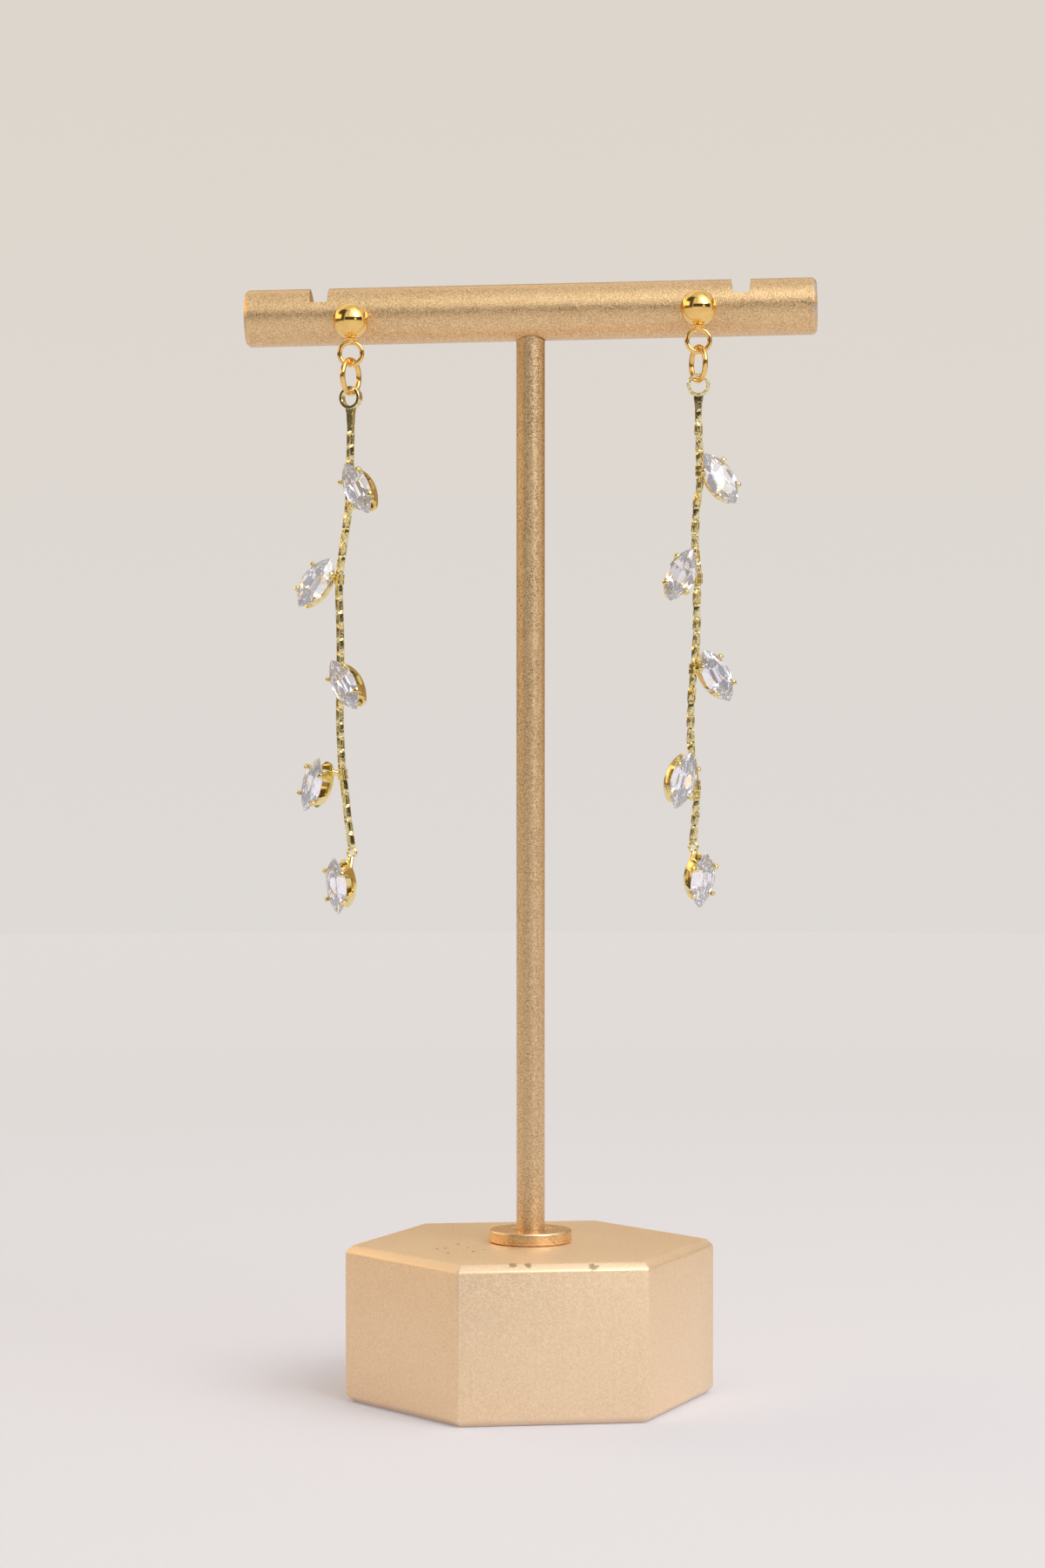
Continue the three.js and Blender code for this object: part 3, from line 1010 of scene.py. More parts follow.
@dataclass
class Stand:
    """The plain T-bar stand: hexagonal base, flange, pole and notched bar.

    Attributes:
        base_radius: the base's radius across its corners.
        base_height: the base's height.
        base_chamfer: the chamfer round its top and foot.
        base_turn: how far its corners are turned about Z, in degrees.
        flange_radius: the flange's radius.
        flange_height: the flange's height.
        pole_radius: the pole's radius.
        bar_radius: the bar's radius.
        bar_height: the height of the bar's axis where it crosses the pole's.
        bar_tilt: how far the bar rises towards the right, in degrees.
        bar_chamfer: the chamfer round its ends.
        notch_offset: the distance of each notch from the pole.
        notch_width: a notch's width at its floor.
        notch_flare: a notch's width at the top of its cutter, over that at its floor.
        notch_floor: the height of a notch's floor over the bar's axis.
        post_hole: the radius of the hole for an ear post.
        seat_radius: the radius of the holes for the pole.
        seat_top: the height of the top of the bar's hole over the bar's axis.
        socket_depth: the depth of the base's hole.
        gap: the gap left between two pieces that touch.
    """

    base_radius: float = 19.7
    base_height: float = 16.5
    base_chamfer: float = 0.7
    base_turn: float = 10.2
    flange_radius: float = 4.35
    flange_height: float = 1.3
    pole_radius: float = 1.5
    bar_radius: float = 3.0
    bar_height: float = 114.65
    bar_tilt: float = 1.07
    bar_chamfer: float = 0.35
    notch_offset: float = 22.2
    notch_width: float = 1.75
    notch_flare: float = 1.28
    notch_floor: float = 1.35
    post_hole: float = 1.05
    seat_radius: float = 1.6
    seat_top: float = -0.35
    socket_depth: float = 7.5
    gap: float = 0.05

    def build(self) -> None:
        """Builds, dresses and hands over the four pieces."""
        hand_over(self.base(), "stand_base", self.base_finish().mix())
        hand_over(self.flange(), "stand_flange", self.flange_finish().mix())
        hand_over(self.pole(), "stand_pole", self.pole_finish().mix())
        hand_over(self.bar(), "stand_bar", self.bar_finish().mix())

    def base_finish(self) -> SandedGold:
        """The base's finish, with chips along its front top edge and specks on its top.

        Returns:
            The finish.
        """
        front = -self.base_radius * math.cos(math.pi / 6)
        top = self.base_height
        return SandedGold(
            "base_gold", pale=(0.99, 0.79, 0.56), deep=(0.87, 0.63, 0.39), grain_depth=0.012,
            sparkle=0.2, roughness=0.48, metal=0.65, bare=(0.46, 0.34, 0.22),
            chips=((-1.2, front + 0.3, top - 0.25, 0.5), (0.4, front + 0.4, top - 0.2, 0.4),
                   (7.0, front + 1.2, top - 0.25, 0.5), (-8.9, front - 1.0, top - 0.5, 0.5)),
            specks=((-9.5, -6.0, top, 0.25), (-8.7, -5.6, top, 0.2), (-8.2, -9.0, top, 0.22),
                    (-7.6, -2.2, top, 0.24), (-6.4, -5.0, top, 0.16), (-5.6, -7.9, top, 0.2),
                    (-4.6, -6.2, top, 0.14), (2.6, -6.8, top, 0.12)),
        )

    def flange_finish(self) -> SandedGold:
        """The flange's finish, smoother and warmer than the base's."""
        pale, deep = (0.98, 0.70, 0.40), (0.88, 0.56, 0.27)
        return SandedGold("flange_gold", pale, deep, grain_depth=0.006, sparkle=0.3, roughness=0.32)

    def pole_finish(self) -> SandedGold:
        """The pole's finish, with the grain that shows on a narrow highlight."""
        pale, deep = (0.96, 0.71, 0.43), (0.60, 0.38, 0.18)
        return SandedGold("pole_gold", pale, deep, grain_depth=0.03, sparkle=0.5, roughness=0.34, grain=0.1)

    def bar_finish(self) -> SandedGold:
        """The bar's finish, with paint chips at both ends.

        Returns:
            The finish.
        """
        low, high = node_box("stand_bar")
        left, right = (low.x - high.x) / 2, (high.x - low.x) / 2
        return SandedGold(
            "bar_gold", pale=(0.94, 0.68, 0.39), deep=(0.58, 0.37, 0.17), grain=0.1, grain_depth=0.03,
            sparkle=0.5, roughness=0.36,
            chips=((left, -2.2, 114.0, 0.7), (right, -1.9, 116.6, 0.8), (right, -2.5, 114.6, 0.6),
                   (right - 0.3, -1.0, 117.6, 0.4)),
            specks=((12.2, -3.0, 113.7, 0.12), (-24.4, -2.4, 111.9, 0.15), (28.5, -2.9, 115.3, 0.12)),
        )

    def base(self) -> bpy.types.Object:
        """The hexagonal base, with chamfers, rounded corners and a socket.

        Returns:
            The new piece.
        """
        bpy.ops.mesh.primitive_cylinder_add(
            vertices=6, radius=self.base_radius, depth=self.base_height,
            location=(0, 0, self.base_height / 2), rotation=(0, 0, math.radians(self.base_turn - 30)),
        )
        piece = made("base")
        with editing(piece):
            pick(piece, Pick.EDGES, lambda edge: abs(edge.verts[0].co.z - edge.verts[1].co.z) < 1e-3)
            bpy.ops.mesh.bevel(offset=self.base_chamfer, segments=1, affect="EDGES")
        mark(piece, WEAR, lambda face: 0.2 < abs(face.normal.z) < 0.95)
        soften(piece, width=0.18, segments=3, angle=20)
        foot, mouth = self.base_height - self.socket_depth, self.base_height + 1
        work(piece, rod("socket", foot * Z_AXIS, mouth * Z_AXIS, self.seat_radius, 48), Work.CUT)
        smooth(piece, 25)
        return piece

    def flange(self) -> bpy.types.Object:
        """The turned flange, with a rounded rim and one fine turning line.

        Returns:
            The new piece.
        """
        radius, height, bore = self.flange_radius, self.flange_height, self.seat_radius
        rim, lip, step, ledge = 0.22, 0.1, 0.05, 2.4
        line, line_height = 0.04, 0.34
        profile = [
            (bore, 0), (radius - lip, 0), (radius, lip), (radius, line_height - line),
            (radius - line, line_height), (radius, line_height + line),
            *arc(rim, (radius - rim, height - rim), 0, 90, 5), (ledge, height), (ledge - step, height - step),
            (bore + 0.15, height - step), (bore, height - 0.2), (bore, 0),
        ]
        piece = turned("flange", profile, 96)
        place(piece, Matrix.Translation((0, 0, self.base_height + self.gap)))
        mark(piece, WEAR, lambda face: abs(face.center.z - self.base_height - height + rim / 2) < rim / 2)
        smooth(piece, 40)
        return piece

    def pole(self) -> bpy.types.Object:
        """The pole, with a small chamfer at both ends.

        Returns:
            The new piece.
        """
        low, high = node_box("stand_pole")
        radius, lip = self.pole_radius, 0.2
        profile = [
            (0, low.z), (radius - lip, low.z), (radius, low.z + lip), (radius, high.z - lip),
            (radius - lip, high.z), (0, high.z),
        ]
        piece = turned("pole", profile, 64)
        # Nothing of it is worn, but its finish reads the mark.
        mark(piece, WEAR, lambda face: False)
        smooth(piece, 40)
        return piece

    def bar(self) -> bpy.types.Object:
        """The bar, with chamfered ends, two notches, two post holes and the pole's seat.

        Returns:
            The new piece.
        """
        low, high = node_box("stand_bar")
        tilt = math.radians(self.bar_tilt)
        half = ((high.x - low.x) - 2 * self.bar_radius * math.sin(tilt)) / 2 / math.cos(tilt)
        radius, chamfer = self.bar_radius, self.bar_chamfer
        rim = (
            (radius - chamfer - 0.1, 0.0), (radius - chamfer, 0.02), (radius - 0.05, chamfer - 0.03),
            (radius, chamfer + 0.05),
        )
        profile = [
            (0, -half), *((out, depth - half) for out, depth in rim),
            *((out, half - depth) for out, depth in reversed(rim)), (0, half),
        ]
        piece = place(turned("bar", profile, 96), Matrix.Rotation(math.pi / 2, 4, "Y"))
        clear = radius + 1
        tall = clear - self.notch_floor
        for end in (-1, 1):
            centre = (end * self.notch_offset, 0, self.notch_floor + tall / 2)
            notch = block("notch", (self.notch_width, 2 * clear, tall), centre, self.notch_flare)
            work(piece, notch, Work.CUT)
        for side in Side:
            left, right = node_box(f"{side.value}_ball_stud")
            middle, reach = Vector(((left.x + right.x) / 2, 0, 0)), Vector((0, clear, 0))
            work(piece, rod("post_hole", middle - reach, middle + reach, self.post_hole, 32), Work.CUT)
        seat = rod("pole_seat", -clear * Z_AXIS, self.seat_top * Z_AXIS, self.seat_radius, 48)
        work(piece, seat, Work.CUT)
        soften(piece, width=0.06, segments=2, angle=40)
        mark(piece, WEAR, lambda face: face.area < 0.05 and abs(face.center.x) > half - 0.5)
        smooth(piece, 20)
        return place(piece, Matrix.Translation((0, 0, self.bar_height)) @ Matrix.Rotation(-tilt, 4, "Y"))


# ---------------------------------------------------------------- stud and rings


@dataclass
class StudAndRings:
    """What hangs between the bar and the chain of one earring.

    Attributes:
        side: which earring.
        droop: how far the loose post lets the ball sag, in degrees.
        jump_turn: how far the jump ring is turned about Z, in degrees.
        end_turn: how far the end ring is turned about Z, in degrees.
        end_lean: how far its front leans down, in degrees.
        ball_radius: the ball's radius.
        post_radius: the ear post's radius.
        post_reach: from the ball's centre to the tip of the post.
        ring_radius: the radius of the stud's ring, at the middle of its wire.
        ring_wire: the radius of its wire.
        ring_drop: the distance of its centre below the ball's.
        jump_radius: the radius of the jump ring.
        jump_wire: the radius of its wire.
        end_outer: the outer radius of the end ring.
        end_inner: its inner radius.
        end_depth: its depth from front to back.
    """

    side: Side
    droop: float
    jump_turn: float
    end_turn: float
    end_lean: float = 0.0
    ball_radius: float = 1.88
    post_radius: float = 0.4
    post_reach: float = 11.58
    ring_radius: float = 1.18
    ring_wire: float = 0.24
    ring_drop: float = 3.42
    jump_radius: float = 1.76
    jump_wire: float = 0.27
    end_outer: float = 1.2
    end_inner: float = 0.85
    end_depth: float = 0.8

    def node(self, name: str) -> str:
        """The CAD name of one of this earring's pieces."""
        return f"{self.side.value}_{name}"

    def build(self, polished: bpy.types.Material, pale: bpy.types.Material) -> None:
        """Builds, dresses and hands over the pieces.

        Args:
            polished: the finish of the stud, the nut and the jump ring.
            pale: the finish of the end ring.
        """
        hand_over(self.ball_stud(), self.node("ball_stud"), polished)
        hand_over(self.ear_nut(), self.node("ear_nut"), polished)
        hand_over(self.jump_ring(), self.node("jump_ring"), polished)
        hand_over(self.end_ring(), self.node("end_ring"), pale)

    def post_direction(self) -> Vector:
        """The direction from the ball along the post."""
        return Vector((0, math.cos(math.radians(self.droop)), math.sin(math.radians(self.droop))))

    def ball_centre(self) -> Vector:
        """The ball's centre.

        Returns:
            The point.
        """
        low, high = node_box(self.node("ball_stud"))
        below = self.ring_drop + self.ring_radius + self.ring_wire
        return Vector(((low.x + high.x) / 2, low.y + self.ball_radius, low.z + below))

    def ball_stud(self) -> bpy.types.Object:
        """The ball with its solder collar, ring and ear post.

        Returns:
            The new piece.
        """
        radius = self.ball_radius
        neck_top = -self.ring_drop + self.ring_radius
        collar = ((0.58, -1.84), (0.64, -1.90), (0.60, -1.99), (0.38, -2.05))
        dome = arc(radius, (0, 0), 90, -72, 44)
        profile = [(0, radius), *dome[1:], *collar, (0.30, neck_top), (0, neck_top)]
        piece = turned("ball", profile, 72)
        bpy.ops.mesh.primitive_torus_add(
            location=(0, 0, -self.ring_drop), rotation=(math.pi / 2, 0, 0),
            major_radius=self.ring_radius, minor_radius=self.ring_wire, major_segments=72, minor_segments=20,
        )
        work(piece, made("stud_ring"), Work.WELD)
        reach, wire = self.post_reach, self.post_radius
        waist = wire - 0.08
        profile = [
            (0, 0), (wire, 0), (wire, reach - 1.9), (waist, reach - 1.75), (waist, reach - 1.45),
            (wire, reach - 1.3), (wire, reach - 0.35), (wire * 0.55, reach - 0.05), (0, reach),
        ]
        post = place(turned("post", profile, 24), aimed(ORIGIN, self.post_direction()))
        work(piece, post, Work.WELD)
        smooth(piece, 32)
        return place(piece, Matrix.Translation(self.ball_centre()))

    def ear_nut(self) -> bpy.types.Object:
        """The plain round nut behind the bar, with a dished flange and a ribbed barrel.

        Returns:
            The new piece.
        """
        low, high = node_box(self.node("ear_nut"))
        bore, radius, length, lip, rim = 0.46, 2.2, 2.3, 0.5, 0.2
        barrel = ((0.6, lip * 1.6), (0.52, 1.2), (0.6, 1.5), (0.52, 1.75), (0.55, 2.0), (0.35, length))
        profile = [
            (bore, 0), (radius - rim, 0), *arc(rim, (radius - rim, rim), -60, 60, 4), (radius - 0.5, lip),
            *((radius * share, height) for share, height in barrel), (bore + 0.1, length),
            (bore, length - 0.1), (bore, 0),
        ]
        piece = turned("nut", profile, 48)
        smooth(piece, 40)
        middle = (low + high) / 2
        start = middle - self.post_direction() * length / 2
        start.x = self.ball_centre().x
        return place(piece, aimed(start, self.post_direction()))

    def jump_ring(self) -> bpy.types.Object:
        """The jump ring, with the fine slit where its wire closes.

        Returns:
            The new piece.
        """
        low, high = node_box(self.node("jump_ring"))
        bpy.ops.mesh.primitive_torus_add(
            rotation=(math.pi / 2, 0, 0), major_radius=self.jump_radius, minor_radius=self.jump_wire,
            major_segments=96, minor_segments=24,
        )
        piece = made("jump_ring")
        slit = block("slit", (1.2, 1.2, 0.025), (self.jump_radius, 0, -0.9))
        work(piece, slit, Work.CUT)
        smooth(piece, 50)
        turn = Matrix.Rotation(math.radians(self.jump_turn), 4, "Z")
        return place(piece, Matrix.Translation((low + high) / 2) @ turn)

    def end_ring(self) -> bpy.types.Object:
        """The short tube on the jump ring, with the folded leaf below it that grips the chain.

        Returns:
            The new piece.
        """
        low, high = node_box(self.node("end_ring"))
        outer, inner, half, lip = self.end_outer, self.end_inner, self.end_depth / 2, 0.05
        profile = [
            (inner, lip - half), (inner + lip, -half), (outer - lip, -half), (outer, lip - half),
            (outer, half - lip), (outer - lip, half), (inner + lip, half), (inner, half - lip),
            (inner, lip - half),
        ]
        lean = math.pi / 2 + math.radians(self.end_lean)
        piece = place(turned("end_ring", profile, 64), Matrix.Rotation(lean, 4, "X"))
        work(piece, self.leaf(low.z - high.z + outer), Work.WELD)
        smooth(piece, 28)
        turn = Matrix.Rotation(math.radians(self.end_turn), 4, "Z")
        middle = (low + high) / 2
        return place(piece, Matrix.Translation((middle.x, middle.y, high.z - outer)) @ turn)

    def leaf(self, foot: float) -> bpy.types.Object:
        """The tapered leaf, folded over itself in steps and slightly twisted.

        Args:
            foot: the height of its lower end.

        Returns:
            The new piece.
        """
        shoulder = -(self.end_inner + self.end_outer) / 2
        fall = (foot - shoulder) / 4
        piece = block("leaf", (1.05, 0.50, 0.16), (0, 0, shoulder))
        with editing(piece):
            pick(piece, Pick.FACES, lambda face: face.normal.z < -0.9)
            height = shoulder
            for width, twist in ((0.84, 0.30), (0.90, -0.42), (0.88, 0.40), (0.92, -0.34)):
                bpy.ops.mesh.extrude_region_move(TRANSFORM_OT_translate={"value": (0, 0, fall)})
                height += fall
                centre = (0, 0, height)
                bpy.ops.transform.resize(value=(width, 0.98, 1), center_override=centre)
                bpy.ops.transform.rotate(value=twist, orient_axis="Z", center_override=centre)
        soften(piece, width=0.04, segments=1, angle=25)
        return piece


# ---------------------------------------------------------------- chain


@dataclass
class Chain:
    """One fine chain of folded links, each turned a quarter from the last, beyond any twist.

    Attributes:
        side: which earring.
        turn: how far the whole chain is turned about its line, in degrees.
        twist: how far each link is twisted along its length, in degrees.
        belly: half the width of a link at its middle.
        neck: half its width at its ends.
        pitch: the distance from link to link.
        overlap: how far a link reaches into the next.
        slot_rim: the width of the strip on each side of a link's slot.
        slot_depth: the depth of the slot.
        shoulder: the length of the taper at each end.
        corner: the rounding of a link's long edges.
    """

    side: Side
    turn: float
    twist: float
    belly: float = 0.32
    neck: float = 0.25
    pitch: float = 1.45
    overlap: float = 0.3
    slot_rim: float = 0.13
    slot_depth: float = 0.12
    shoulder: float = 0.14
    corner: float = 0.08

    def build(self, finish: bpy.types.Material) -> None:
        """Builds, dresses and hands over the chain.

        Args:
            finish: the chain's material.
        """
        line = CentreLine(f"{self.side.value}_chain")
        count = round(line.length / self.pitch)
        pitch = line.length / count
        master = self.link(pitch + self.overlap)
        links = []
        for number in range(count):
            distance = (number + 0.5) * pitch
            turn = math.radians(self.turn + 90 * (number % 2) + self.twist * number)
            matrix = aimed(line.at(distance), line.tangent(distance)) @ Matrix.Rotation(turn, 4, "Z")
            links.append(twin(master, f"link_{number}", matrix))
        bpy.data.objects.remove(master)
        hand_over(joined("chain", links), f"{self.side.value}_chain", finish)

    def link(self, length: float) -> bpy.types.Object:
        """One link about Z, with its middle at the origin and a slot in two of its sides.

        Args:
            length: the link's length.

        Returns:
            The new piece.
        """
        half = length / 2
        wide = self.neck + 0.75 * (self.belly - self.neck)
        sections = (
            (self.shoulder - half, wide), (-0.2 * length, self.belly), (0.2 * length, self.belly),
            (half - self.shoulder, wide), (half, self.neck),
        )
        bpy.ops.mesh.primitive_plane_add(size=2 * self.neck, location=(0, 0, -half))
        piece = made("link")
        with editing(piece):
            bpy.ops.mesh.select_mode(type=Pick.FACES.value)
            bpy.ops.mesh.select_all(action="SELECT")
            height, width = -half, self.neck
            for next_height, next_width in sections:
                shift = (0, 0, next_height - height)
                bpy.ops.mesh.extrude_region_move(TRANSFORM_OT_translate={"value": shift})
                scale = next_width / width
                centre = (0, 0, next_height)
                bpy.ops.transform.resize(value=(scale, scale, 1), center_override=centre)
                turn = math.radians(self.twist) * (next_height - height) / length
                bpy.ops.transform.rotate(value=turn, orient_axis="Z", center_override=centre)
                height, width = next_height, next_width
            for end in BOTH:
                pick(piece, Pick.FACES, lambda face: end * face.normal.y > 0.5
                     and abs(face.calc_center_median().z) < 0.4 * length)
                bpy.ops.mesh.inset(thickness=self.slot_rim)
                sink = (0, -end * self.slot_depth, 0)
                bpy.ops.mesh.extrude_region_move(TRANSFORM_OT_translate={"value": sink})
        tidy(piece)
        soften(piece, width=self.corner, segments=2, angle=50)
        smooth(piece, 40)
        return piece


# ---------------------------------------------------------------- stones and settings


@dataclass
class MarquiseStone:
    """A marquise-cut stone, ground facet by facet from a block.

    Attributes:
        half_length: half its length at the girdle.
        half_width: half its width at the girdle.
        girdle: half the thickness of its girdle.
        crown: the height of its table.
        pavilion: the depth of its keel.
        table_length: half the table's length.
        table_width: half the table's width.
        keel: half the keel's length.
        upper_rise: how much more a small facet above the girdle rises than the large ones.
        star_fall: how much less a star facet rises than they do.
        lower_fall: how much more a small facet below the girdle falls than the large ones.
        girdle_leans: where the girdle's facets face, in degrees from square across.
        main_leans: where the large facets face.
        half_leans: where the small facets beside the girdle face.
        star_leans: where the star facets face.
    """

    half_length: float = 3.05
    half_width: float = 1.5
    girdle: float = 0.06
    crown: float = 0.45
    pavilion: float = 1.25
    table_length: float = 1.95
    table_width: float = 0.86
    keel: float = 0.8
    upper_rise: float = 0.16
    star_fall: float = 0.17
    lower_fall: float = 0.13
    girdle_leans: tuple[float, ...] = (3, 9, 16, 23, 30, 37, 44, 50)
    main_leans: tuple[float, ...] = (0, 30, 90)
    half_leans: tuple[float, ...] = (9, 21, 39, 50)
    star_leans: tuple[float, ...] = (15, 52)

    def cut(self) -> bpy.types.Object:
        """Grinds the stone.

        Returns:
            The new piece.
        """
        size = (2 * self.half_length, 2 * self.half_width, self.crown + self.pavilion)
        piece = block("stone", size, (0, 0, (self.crown - self.pavilion) / 2))
        with editing(piece):
            for leans, facet in (
                (self.girdle_leans, self.girdle_side), (self.main_leans, self.crown_main),
                (self.half_leans, self.crown_half), (self.star_leans, self.star),
                (self.main_leans, self.pavilion_main), (self.half_leans, self.pavilion_half),
            ):
                for lean in leans:
                    self.facets(lean, facet)
        mark(piece, KEEL, lambda face: face.normal.z < -0.05)
        return piece

    def rim(self, lean: float, height: float, length: float = 0.0, width: float = 0.0) -> Vector:
        """The point of a marquise outline whose side faces a lean from square across.

        Args:
            lean: the lean in degrees; past the tip's own lean it gives the tip.
            height: the point's height.
            length: half the outline's length, or 0 for the girdle's.
            width: half the outline's width, or 0 for the girdle's.

        Returns:
            The point.
        """
        length = length or self.half_length
        width = width or self.half_width
        radius = (length**2 + width**2) / (2 * width)
        angle = min(math.radians(lean), math.asin(length / radius))
        return Vector((radius * math.sin(angle), radius * math.cos(angle) - radius + width, height))

    def girdle_side(self, lean: float) -> Facet:
        """An upright facet of the girdle: a point of it, and its slope."""
        return self.rim(lean, 0.0), Z_AXIS

    def crown_main(self, lean: float) -> Facet:
        """A large crown facet: its foot on the girdle and its rise to the table."""
        foot = self.rim(lean, self.girdle)
        return foot, self.rim(lean, self.crown, self.table_length, self.table_width) - foot

    def crown_half(self, lean: float) -> Facet:
        """A small, steeper facet beside the girdle."""
        foot, rise = self.crown_main(lean)
        return foot, rise + self.upper_rise * Z_AXIS

    def star(self, lean: float) -> Facet:
        """A small, flatter facet beside the table."""
        foot, rise = self.crown_main(lean)
        return foot + rise, rise - self.star_fall * Z_AXIS

    def pavilion_main(self, lean: float) -> Facet:
        """A large facet below the girdle, falling to the keel."""
        foot = self.rim(lean, -self.girdle)
        return foot, Vector((self.keel * min(lean / 30, 1), 0, -self.pavilion)) - foot

    def pavilion_half(self, lean: float) -> Facet:
        """A small, steeper facet below the girdle."""
        foot, fall = self.pavilion_main(lean)
        return foot, fall - self.lower_fall * Z_AXIS

    def facets(self, lean: float, facet: Callable[[float], Facet]) -> None:
        """Grinds one facet in each quarter of the stone, or one that spans two quarters only once.

        Args:
            lean: the facet's lean from square across, in degrees.
            facet: gives a point and a slope of the facet.
        """
        foot, slope = facet(lean)
        across, along = math.cos(math.radians(lean)), math.sin(math.radians(lean))
        normal = slope.cross(Vector((across, -along, 0))).normalized()
        if normal.dot(Vector((along, across, 0))) < 0:
            normal.negate()
        for end in BOTH[:1] if lean == 0 else BOTH:
            for side in BOTH[:1] if lean == 90 else BOTH:
                flip = Vector((end, side, 1))
                bpy.ops.mesh.select_all(action="SELECT")
                bpy.ops.mesh.bisect(
                    plane_co=foot * flip, plane_no=normal * flip, use_fill=True, clear_outer=True,
                    threshold=1e-5,
                )


@dataclass
class BoatSetting:
    """A boat-shaped cup with four prongs.

    Attributes:
        stone: the stone that it holds.
        rim: the height of the cup's rim.
        foot: the height of its foot.
        sill: the height of the sills of its windows.
        wall: the thickness of its wall.
        rim_length: half its length at the rim.
        rim_width: half its width at the rim.
        foot_length: half its length at the foot.
        foot_width: half its width at the foot.
        tip_radius: the rounding of its tips.
        foot_round: the rounding of the edge round its foot.
        well: the size of the floor inside, over that of the foot.
        side_window: the width of the window in each long side, at its sill.
        side_flare: its width at the top of its cutter, over that.
        end_window: the width of each window near a tip, at its sill.
        end_flare: its width at the top of its cutter, over that.
        end_spot: how far from the middle those windows are.
        prong_lean: where a prong stands, as the lean of the stone's side there, in degrees.
        sleeve_bore: the radius of the bore of the sleeve round the chain.
        sleeve_radius: the outer radius of the sleeve.
        sleeve_length: the length of the sleeve.
        strap: the radius of the strap that holds it.
        bail_radius: the radius of the last setting's loop.
        bail_wire: the radius of the loop's wire.
        strut: the radius of the struts that hold it.
        strut_foot: where a strut stands: in from the cup's tip, to the side and up from its foot.
    """

    stone: MarquiseStone
    rim: float = -0.2
    foot: float = -2.0
    sill: float = -1.3
    wall: float = 0.28
    rim_length: float = 2.85
    rim_width: float = 1.45
    foot_length: float = 2.45
    foot_width: float = 1.22
    tip_radius: float = 0.5
    foot_round: float = 0.44
    well: float = 0.92
    side_window: float = 1.5
    side_flare: float = 1.35
    end_window: float = 1.4
    end_flare: float = 1.1
    end_spot: float = 2.72
    prong_lean: float = 22.9
    sleeve_bore: float = 0.42
    sleeve_radius: float = 0.52
    sleeve_length: float = 1.1
    strap: float = 0.3
    bail_radius: float = 0.42
    bail_wire: float = 0.16
    strut: float = 0.2
    strut_foot: tuple[float, float, float] = (0.75, 0.66, 0.42)

    def outline(self, name: str, length: float, width: float, height: float) -> bpy.types.Object:
        """A flat marquise face with rounded tips, spun arc by arc.

        Args:
            name: the piece's name.
            length: half its length.
            width: half its width.
            height: its height.

        Returns:
            The new piece.
        """
        tip = self.tip_radius
        radius = (length**2 + width**2 - 2 * length * tip) / (2 * (width - tip))
        lean = math.asin((length - tip) / (radius - tip))
        piece = point(name, Vector((length, 0, height)))
        with editing(piece):
            bpy.ops.mesh.select_all(action="SELECT")
            for steps, angle, centre in (
                (5, math.pi / 2 - lean, (length - tip, 0, height)),
                (12, 2 * lean, (0, width - radius, height)),
                (5, math.pi / 2 - lean, (tip - length, 0, height)),
            ):
                bpy.ops.mesh.spin(steps=steps, angle=-angle, center=centre, axis=Z_AXIS)
            bpy.ops.mesh.select_all(action="SELECT")
            bpy.ops.mesh.duplicate()
            bpy.ops.transform.resize(value=(1, -1, 1), center_override=(0, 0, height))
            bpy.ops.mesh.select_all(action="SELECT")
            bpy.ops.mesh.remove_doubles(threshold=MERGE_GAP)
            bpy.ops.mesh.edge_face_add()
            bpy.ops.mesh.normals_make_consistent(inside=False)
        return piece

    def cup(self) -> bpy.types.Object:
        """The cup: a closed rounded foot, a thin wall, and windows between its uprights.

        Returns:
            The new piece.
        """
        piece = self.outline("cup", self.foot_length, self.foot_width, self.foot)
        rise = self.rim - self.foot
        flare = (self.rim_length / self.foot_length, self.rim_width / self.foot_width, 1)
        with editing(piece):
            bpy.ops.mesh.select_mode(type=Pick.FACES.value)
            bpy.ops.mesh.select_all(action="SELECT")
            bpy.ops.mesh.extrude_region_move(TRANSFORM_OT_translate={"value": (0, 0, rise)})
            bpy.ops.transform.resize(value=flare, center_override=(0, 0, self.rim))
            bpy.ops.mesh.select_all(action="SELECT")
            bpy.ops.mesh.normals_make_consistent(inside=False)
            pick(piece, Pick.EDGES, lambda edge: all(end.co.z < self.foot + 1e-3 for end in edge.verts))
            bpy.ops.mesh.bevel(offset=self.foot_round, segments=5, affect="EDGES")
            pick(piece, Pick.FACES, lambda face: face.normal.z > 0.9)
            bpy.ops.mesh.inset(thickness=self.wall)
            bpy.ops.mesh.extrude_region_move(TRANSFORM_OT_translate={"value": (0, 0, self.wall - rise)})
            back = tuple(self.well / factor for factor in flare[:2])
            bpy.ops.transform.resize(value=(*back, 1), center_override=(0, 0, self.foot + self.wall))
        tidy(piece)
        through, over = 4, 0.3
        tall = self.rim - self.sill + over
        middle = self.sill + tall / 2
        window = block("side_window", (self.side_window, through, tall), (0, 0, middle), self.side_flare)
        work(piece, window, Work.CUT)
        for end in (-1, 1):
            centre = (end * self.end_spot, 0, middle)
            window = block("end_window", (self.end_window, through, tall), centre, self.end_flare)
            work(piece, window, Work.CUT)
        soften(piece, width=0.035, segments=1, angle=40)
        return piece

    def prong(self) -> bpy.types.Object:
        """One prong with its back to +Y, from a wide plate at its foot to a blunt nib over the stone.

        Returns:
            The new piece, with the girdle's edge at the origin.
        """
